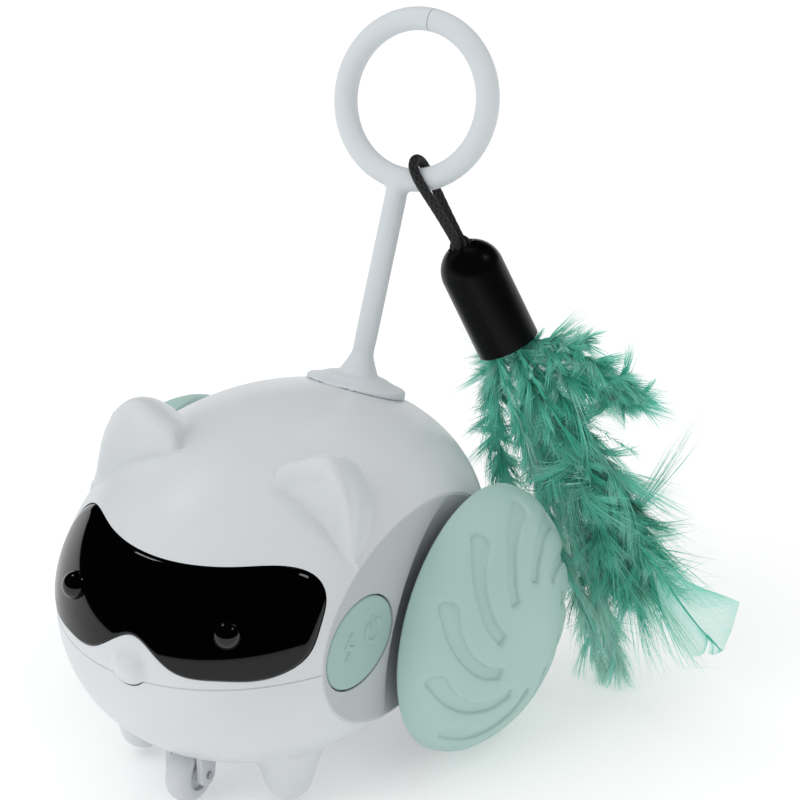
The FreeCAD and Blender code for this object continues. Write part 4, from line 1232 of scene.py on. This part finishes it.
feather = {"rows": 6, "quillSides": 6, "quillRows": 30, "seed": 7, "wheelClear": 45.4 * mm,
           "wheelTop": 58 * mm, "ease": 1.2 * mm, "casingClear": 0.6 * mm, "floor": 0.5 * mm,
           "quill": (0.34, 0.08)}
tuft = {"each": 25, "wide": 0.18 * mm, "curl": 0.6, "loose": 0.09, "lengthSpread": 0.28,
        "lengths": (0.62, 1.06)}
hair = {"wide": 0.11 * mm, "curl": 0.3, "loose": 0.14, "lengthSpread": 0.1, "lengths": (0.6, 1.15)}
down = {"start": 0.03, "jitter": 0.008, "turnSpread": 0.3, "flat": 0.6, "lean": 50, "leanSpread": (15, 8),
        "longer": 1.15, "onward": 0.25, "inward": 0.25, "rise": -0.14, "swing": (0.07, 5, 6),
        "tilt": (0.3, 0.14), "tone": 0.12, "tipPaintedLight": 0.55, "toneSpread": (0.19, 0.06), "widths": (0.7, 1.3)}
vane = {"sag": 0.06, "cup": (0.9, 2.4), "ripple": (0.25, 14), "tilt": 0.12, "cover": 0.45,
        "widths": (0.05, 0.5), "tone": 0.3, "toneSpread": 0.05, "edgePoints": 60}
plumes = {
    "main_plume": {"broad": (0.75, 0, 0.66), "parts": [
        {"quill": [(22.6, 51, 71), (29.6, 52.2, 57), (39.2, 52.4, 42.6), (46.9, 52.4, 30.5),
                   (51, 52.2, 21.5)],
         "half": [2.2, 6.5, 7.5, 7.0, 5.0], "tufts": 190},
        {"quill": [(23.4, 51, 71), (34, 52.4, 60.5), (45.2, 52.4, 48), (51.5, 52.4, 37.3),
                   (54.5, 52.4, 28.4)],
         "half": [1.8, 5.0, 6.0, 6.0, 4.5], "tufts": 150},
        {"quill": [(22.4, 51.2, 70.6), (27.6, 51.8, 55.5), (34.4, 52, 42.4), (40.6, 51.8, 29.5),
                   (45.4, 51.8, 19)],
         "half": [1.8, 4.6, 5.6, 6.0, 5.0], "tufts": 150},
        {"quill": [(23, 51.8, 71), (30.7, 54, 57.5), (41, 54.4, 43.4), (48.4, 54.4, 31.5), (52, 54.4, 22.5)],
         "half": [1.8, 6.5, 8.0, 7.5, 5.0], "tufts": 140},
        {"quill": [(22.8, 50.2, 70.7), (30.3, 50.2, 59.3), (37.9, 50.2, 48.9), (44, 50.2, 38.8),
                   (47.6, 50.2, 31)],
         "half": [1.8, 4.5, 6.0, 6.0, 4.5], "tufts": 125, "tone": (0.1, 0.05)}]},
    "lower_plume": {"broad": (1, 0, 0.2), "parts": [
        {"quill": [(21.8, 47.9, 69), (28.5, 47.8, 50), (37.8, 47.8, 29), (44, 47.4, 14.5), (47.6, 46.8, 5)],
         "half": [1.4, 4.2, 5.0, 5.0, 4.0], "tufts": 130, "tone": (0.05, 0.75), "curl": 0.4, "lean": 28},
        {"quill": [(21.9, 48.4, 69), (30, 48.9, 49), (40.2, 49.2, 29), (46.6, 49.2, 16.5), (50.6, 48.8, 6)],
         "half": [1.4, 4.2, 5.0, 5.0, 4.0], "tufts": 120, "tone": (0.1, 0.8), "curl": 0.4, "lean": 28},
        {"quill": [(30.5, 49, 42), (37, 49, 29), (41.5, 48.6, 19), (44, 48, 12)],
         "half": [3.0, 5.0, 5.5, 5.0],
         "hairs": 260, "tone": (0.2, 0.35)}]},
    "upper_feather": {"broad": (0.1, 0, 1), "parts": [
        {"quill": [(23.4, 52.4, 70.6), (28, 53.6, 69), (36, 54.5, 69.2), (45.6, 54.8, 66),
                   (51.5, 54.8, 63.2)],
         "half": [1.4, 3.2, 4.2, 4.0, 2.4], "lean": 42, "tufts": 120, "each": 24, "tone": (0.05, 0.1)},
        {"quill": [(23.6, 52.4, 70.2), (28.5, 53.6, 66.6), (36, 54.5, 64.5), (44, 54.8, 62), (49, 54.8, 61)],
         "half": [1.6, 4.2, 5.0, 4.4, 2.6], "lean": 42, "tufts": 120, "each": 24},
        {"quill": [(24, 52.6, 70.4), (29.5, 53.8, 70.4), (34.5, 54.4, 71.2), (38.5, 54.5, 73)],
         "half": [2.0, 3.2, 3.2, 2.0], "lean": 42, "tufts": 70, "each": 22, "tone": (0.05, 0.2)},
        {"quill": [(30.5, 54, 61), (38, 54.5, 55.5), (45, 54.5, 52.8), (50.5, 54.5, 51)],
         "half": [1.5, 2.4, 2.0, 1.2], "hairs": 110, "tone": (0.1, 0.3)}]},
    "rear_strand": {"broad": (1, 0, 0), "parts": [
        {"quill": [(20.9, 52.9, 71.4), (20, 52.9, 66), (18.6, 52.9, 58), (19.4, 52.8, 46), (22, 52.8, 36)],
         "half": [2.2, 3.8, 4.4, 4.2, 2.6], "tufts": 170, "each": 24, "tone": (0.05, 0.1)}]},
    "long_vane": {"broad": (0.7, 0, 0.7), "parts": [
        {"quill": [(25, 48.9, 71.6), (36.2, 49.4, 55.5), (46.8, 49.8, 42), (54.4, 50, 33.3)],
         "half": [0.8, 2.2, 3.2, 3.4], "tufts": 60, "each": 20},
        {"quill": [(52, 50, 36), (57, 50.2, 31), (61, 50.4, 27), (64, 50.4, 25)],
         "half": [5.0, 7.0, 7.5, 6.5],
         "hairs": 110, "tone": (0.15, 0.3), "rise": 0.35},
        {"quill": [(54.4, 50, 33.3), (59.1, 50, 28.5), (62.9, 50, 23.8), (67.8, 50, 18.9), (73.6, 50, 14.6)],
         "edge": [(58, 50, 31.2), (64.5, 50, 28), (76.7, 50, 26.6), (75.6, 50, 20.7), (73.6, 50, 14.7)],
         "barbs": 200, "tone": (0.6, 0.5)},
        {"quill": [(56, 50.1, 31.7), (59.1, 50.1, 28.5), (62.9, 50.1, 23.8), (67.4, 50.1, 19.2),
                   (69.6, 50.1, 17.4)],
         "edge": [(56.5, 50.1, 28.4), (59.4, 50.1, 20.4), (62, 50.1, 14), (65.6, 50.1, 11), (69, 50.1, 12),
                  (70, 50.1, 15.8)],
         "round": True, "barbs": 170, "tone": (0.5, 0.65)},
        {"quill": [(70, 50, 17.1), (71.5, 50, 16.1), (73.4, 50, 14.7)],
         "edge": [(70.2, 50, 12.4), (71.9, 50, 12.9), (73.6, 50, 14.4)], "barbs": 26, "tone": (0.4, 0.4)}]}}


def smoothLine(points, where):  # places and directions on an open curve through the points, at shares of it
    points = np.array(points, float)
    slopes = np.gradient(points, axis=0)
    place = np.clip(where, 0, 1) * (len(points) - 1)
    index = np.minimum(place.astype(int), len(points) - 2)
    step = (place - index)[:, None]
    a, b, m0, m1 = points[index], points[index + 1], slopes[index], slopes[index + 1]
    way = ((6 * step**2 - 6 * step) * a + (3 * step**2 - 4 * step + 1) * m0
           + (-6 * step**2 + 6 * step) * b + (3 * step**2 - 2 * step) * m1)
    return curvePiece(a, b, m0, m1, step), way / np.linalg.norm(way, axis=1)[:, None]


def unit(vectors):
    return vectors / np.maximum(np.linalg.norm(vectors, axis=-1, keepdims=True), 1e-9)


def keepClear(points):  # barbs stay off the wheel, the casing and the floor
    points[:, 2] = np.maximum(points[:, 2], feather["floor"])
    ease = feather["ease"]
    wall = middleY + feather["wheelClear"]
    close = (points[:, 2] < feather["wheelTop"]) & (points[:, 1] < wall + ease)
    points[close, 1] = wall + ease * np.exp((points[close, 1] - wall - ease) / ease)
    sunk = feather["casingClear"] - eggRise(points)
    points[:, 1] += np.where((sunk > 0) & (points[:, 1] > middleY), sunk * 1.3, 0)
    return points


def tuftLines(spec, broad, rng, share):  # tufts stand out all round a quill, fan out and curl at their tips
    kind = hair if "hairs" in spec else tuft
    each = 1 if kind is hair else spec.get("each", kind["each"])
    tufts = spec["hairs"] if kind is hair else spec["tufts"]
    count = tufts * each

    def perTuft(values):
        return np.repeat(values, each, axis=0)

    where = np.clip(perTuft(np.sort(rng.random(tufts))) + rng.normal(0, down["jitter"], count), 0, 1)
    root, way = smoothLine(spec["quill"], down["start"] + (1 - down["start"]) * where)
    half = np.interp(where, np.linspace(0, 1, len(spec["half"])), spec["half"])
    wide = unit(np.array(broad) - way * (way @ np.array(broad))[:, None])
    normal = np.cross(way, wide)
    turn = perTuft(rng.uniform(0, 2 * math.pi, tufts)) + rng.normal(0, down["turnSpread"], count)
    out = wide * np.cos(turn)[:, None] + normal * down["flat"] * np.sin(turn)[:, None]
    tuftLean, barbLean = down["leanSpread"]
    lean = np.radians(perTuft(rng.normal(spec.get("lean", down["lean"]), tuftLean, tufts))
                      + rng.normal(0, barbLean, count))
    first = out * np.sin(lean)[:, None] + way * np.cos(lean)[:, None]
    length = half * down["longer"] * perTuft(np.exp(rng.normal(0, kind["lengthSpread"], tufts)))
    length *= rng.uniform(*kind["lengths"], count)
    bend = (way * down["onward"] - out * down["inward"]
            + perTuft(rng.normal(0, spec.get("curl", 1.0) * kind["curl"], (tufts, 3)))
            + rng.normal(0, kind["loose"], (count, 3)) + np.array((0, 0, spec.get("rise", down["rise"]))))
    line = root[:, None] + length[:, None, None] * (share[None, :, None] * first[:, None]
                                                    + share[None, :, None]**2 * bend[:, None])
    size, waves, shift = down["swing"]
    swing = rng.normal(0, size, count)[:, None] * np.sin(share * waves + rng.random(count)[:, None] * shift)
    line += normal[:, None] * (swing * share * length[:, None])[:, :, None]
    tuftTilt, barbTilt = down["tilt"]
    tilt = (normal[:, None] + perTuft(rng.normal(0, tuftTilt, (tufts, 1, 3)))
            + rng.normal(0, barbTilt, (count, 1, 3)))
    width = kind["wide"] * (1.1 - share[None, :]**1.5)
    # painted shade and light: each barb starts dark at the quill and grows paler towards its tip
    startTone, endTone = spec.get("tone", (0.0, 0.0))
    tuftTone, barbTone = down["toneSpread"]
    tone = (down["tone"] + startTone + (endTone - startTone) * where[:, None] + down["tipPaintedLight"] * share[None,
                                                                                                        :]
            + perTuft(rng.normal(0, tuftTone, tufts))[:, None] + rng.normal(0, barbTone, count)[:, None])
    return line, tilt, width * rng.uniform(*down["widths"], count)[:, None], tone


def vaneLines(spec, rng, share):  # a flat vane: even barbs side by side from the quill to a cut edge
    where = np.linspace(0, 1, spec["barbs"])
    root, way = smoothLine(spec["quill"], where)
    edges = np.array(spec["edge"], float)
    if spec.get("round"):
        edges = smoothLine(edges, np.linspace(0, 1, vane["edgePoints"]))[0]
    reach = spreadAlong(edges, where * lengthAlong(edges)[-1]) - root
    sag = 4 * share * (1 - share)
    line = (root[:, None] + share[None, :, None] * reach[:, None]
            + sag[None, :, None] * (way * vane["sag"] * np.linalg.norm(reach, axis=1)[:, None])[:, None])
    (cup, cupTurn), (ripple, ripples) = vane["cup"], vane["ripple"]
    line[:, :, 1] += cup * np.sin(share * cupTurn)[None, :]
    line[:, :, 1] += ripple * np.sin(where * ripples)[:, None] * share[None, :]
    tilt = np.array((0.0, 1.0, 0.0)) + rng.normal(0, vane["tilt"], (len(where), 1, 3))
    width = np.clip(np.linalg.norm(np.gradient(line, axis=0), axis=2) * vane["cover"], *vane["widths"]) * mm
    startTone, endTone = spec["tone"]
    tone = (vane["tone"] + startTone + (endTone - startTone) * share[None, :]
            + rng.normal(0, vane["toneSpread"], len(where))[:, None])
    return line, tilt, width, tone


def addBarbs(name, spec, broad, rng):
    rows = feather["rows"]
    share = np.linspace(0, 1, rows)
    flat = "edge" in spec
    line, tilt, width, tone = vaneLines(spec, rng, share) if flat else tuftLines(spec, broad, rng, share)
    count = len(line)
    line = line * mm + np.array((0, middleY, 0))
    line = keepClear(line.reshape(-1, 3)).reshape(count, rows, 3)
    along = unit(np.gradient(line, axis=1))
    across = unit(np.cross(along, tilt))
    deselectAll()
    bpy.ops.mesh.primitive_grid_add(x_subdivisions=1, y_subdivisions=rows - 1, size=2)
    item = lastAdded(name)
    one = readPoints(item)
    row, side = np.rint((one[:, 1] + 1) / 2 * (rows - 1)).astype(int), np.sign(one[:, 0])
    addModifier(item, "ARRAY", count=count, use_relative_offset=False, use_constant_offset=True,
                constant_offset_displace=(0, 0, 0.01))
    applyModifiers(item)
    points = line[:, row] + across[:, row] * (width[:, row] * side / 2)[:, :, None]
    writePoints(item, points.reshape(-1, 3))
    setTone(item, "barbTone", tone[:, row])
    return item


def addQuill(name, spec):
    sides, rows = feather["quillSides"], feather["quillRows"]
    item = addRod(name, (0, 0, -1), (0, 0, 1), 1, sides)
    for step in range(1, rows):
        editAll(item)
        bpy.ops.mesh.bisect(plane_co=(0, 0, -1 + 2 * step / rows), plane_no=(0, 0, 1))
        leaveEdit()
    points = readPoints(item)
    share = (points[:, 2] + 1) / 2
    spot, way = smoothLine(spec["quill"], share)
    side = unit(np.cross(way, (0, 1.0, 0.1)))
    up = np.cross(way, side)
    thick, thin = feather["quill"]
    radius = thick + (thin - thick) * share
    spot = spot + side * (points[:, 0] * radius)[:, None] + up * (points[:, 1] * radius)[:, None]
    writePoints(item, spot * mm + np.array((0, middleY, 0)))
    outwardFaces(item)
    setTone(item, "barbTone", np.full(len(spot), 0.3))
    return item


def makeFeathers():
    for number, (node, plume) in enumerate(plumes.items()):
        rng = np.random.default_rng(feather["seed"] + number)
        parts = []
        for spec in plume["parts"]:
            parts.append(addBarbs(node + "Barbs", spec, plume["broad"], rng))
            if "hairs" not in spec:
                parts.append(addQuill(node + "Quill", spec))
        finishPiece(joinAll(parts, node + "Down"), "teaser", "feather_teal", node)


# floor and studio light

studio = {"floorRadius": 12.0, "floorGlow": 0.3, "floorTone": (228, 232), "world": 0.72, "wallRadius": 1.35,
          "wallHeight": 0.2, "wallFrom": 140, "wallTurn": 88,
          "boxes": [{"name": "keyLight", "way": (-0.45, -0.75, 0.65), "far": 1.6, "size": 1.4, "power": 7.2,
                     "hidden": True},
                    {"name": "topLight", "way": (0.0, 0.2, 1.0), "far": 1.5, "size": 1.2, "power": 2,
                     "hidden": True},
                    {"name": "leftSpark", "way": (-0.55, 0.15, 0.8), "far": 1.3, "size": 0.2, "power": 0.8},
                    {"name": "rightSpark", "way": (0.55, 0.35, 0.8), "far": 1.3, "size": 0.2, "power": 0.7}]}


def makeStudio():
    deselectAll()
    bpy.ops.mesh.primitive_circle_add(vertices=96, radius=studio["floorRadius"], fill_type="NGON",
                                      location=(0, 0, -0.0002))
    floor = applyPlace(lastAdded("paleFloor"))
    start = math.radians(studio["wallFrom"])
    foot = Vector((math.cos(start), math.sin(start), 0)) * studio["wallRadius"]
    wall = addLine("paleWall", [foot + Vector((0, 0, -0.001)), foot + Vector((0, 0, studio["wallHeight"]))])
    editAll(wall)
    bpy.ops.mesh.spin(steps=48, angle=math.radians(studio["wallTurn"]), center=(0, 0, 0), axis=(0, 0, 1))
    leaveEdit()
    material, tree, shader, place = newFinish("floorPaper", 0.9)
    dark, pale = ([tone] * 3 for tone in studio["floorTone"])
    paintPatchy(tree, shader, addNoise(tree, place, 3, 2), toLinear(dark), toLinear(pale))
    shader.inputs["IOR"].default_value = 1.2
    shader.inputs["Emission Color"].default_value = (1, 1, 1, 1)
    shader.inputs["Emission Strength"].default_value = studio["floorGlow"]
    for item in (floor, wall):
        item.data.materials.append(material)
    for box in studio["boxes"]:
        way = Vector(box["way"]).normalized()
        bpy.ops.object.light_add(type="AREA", location=way * box["far"] + Vector((0, 0, 0.05)),
                                 rotation=way.to_track_quat("Z", "Y").to_euler())
        light = bpy.context.active_object
        light.name = box["name"]
        light.data.size = box["size"]
        light.data.energy = box["power"]
        light.visible_glossy = not box.get("hidden", False)
    world = bpy.data.worlds.new("studioWorld")
    bpy.context.scene.world = world
    world.use_nodes = True
    background = world.node_tree.nodes["Background"]
    background.inputs["Color"].default_value = (1, 1, 1, 1)
    background.inputs["Strength"].default_value = studio["world"]
    world.cycles_visibility.glossy = False
    bpy.context.scene.view_settings.view_transform = "Standard"


deselectAll()
addCamera()
print("camera set")
cordLoop, cordPath = makeCord()
cordKnot = makeKnot()
makeCap()
print("cord and cap made")
makeFeathers()
print("feathers made")
makeUpperShell()
makeLowerShell()
print("casing made")
makeVisor()
makeEyes()
makePanels()
makeButton()
print("face, panels and button made")
makeWheels()
makeRoller()
makeFork()
makeTail()
print("wheels, roller and tail made")
for row in frame["record"]["subparts"]:  # what stays as built gets its finish too
    node = nodes[row["node"]]
    if node.visible_get() and not node.hide_render:
        node.data.materials.clear()
        node.data.materials.append(slotFinish[row["material_slot"]])
makeStudio()
print("floor and light set")
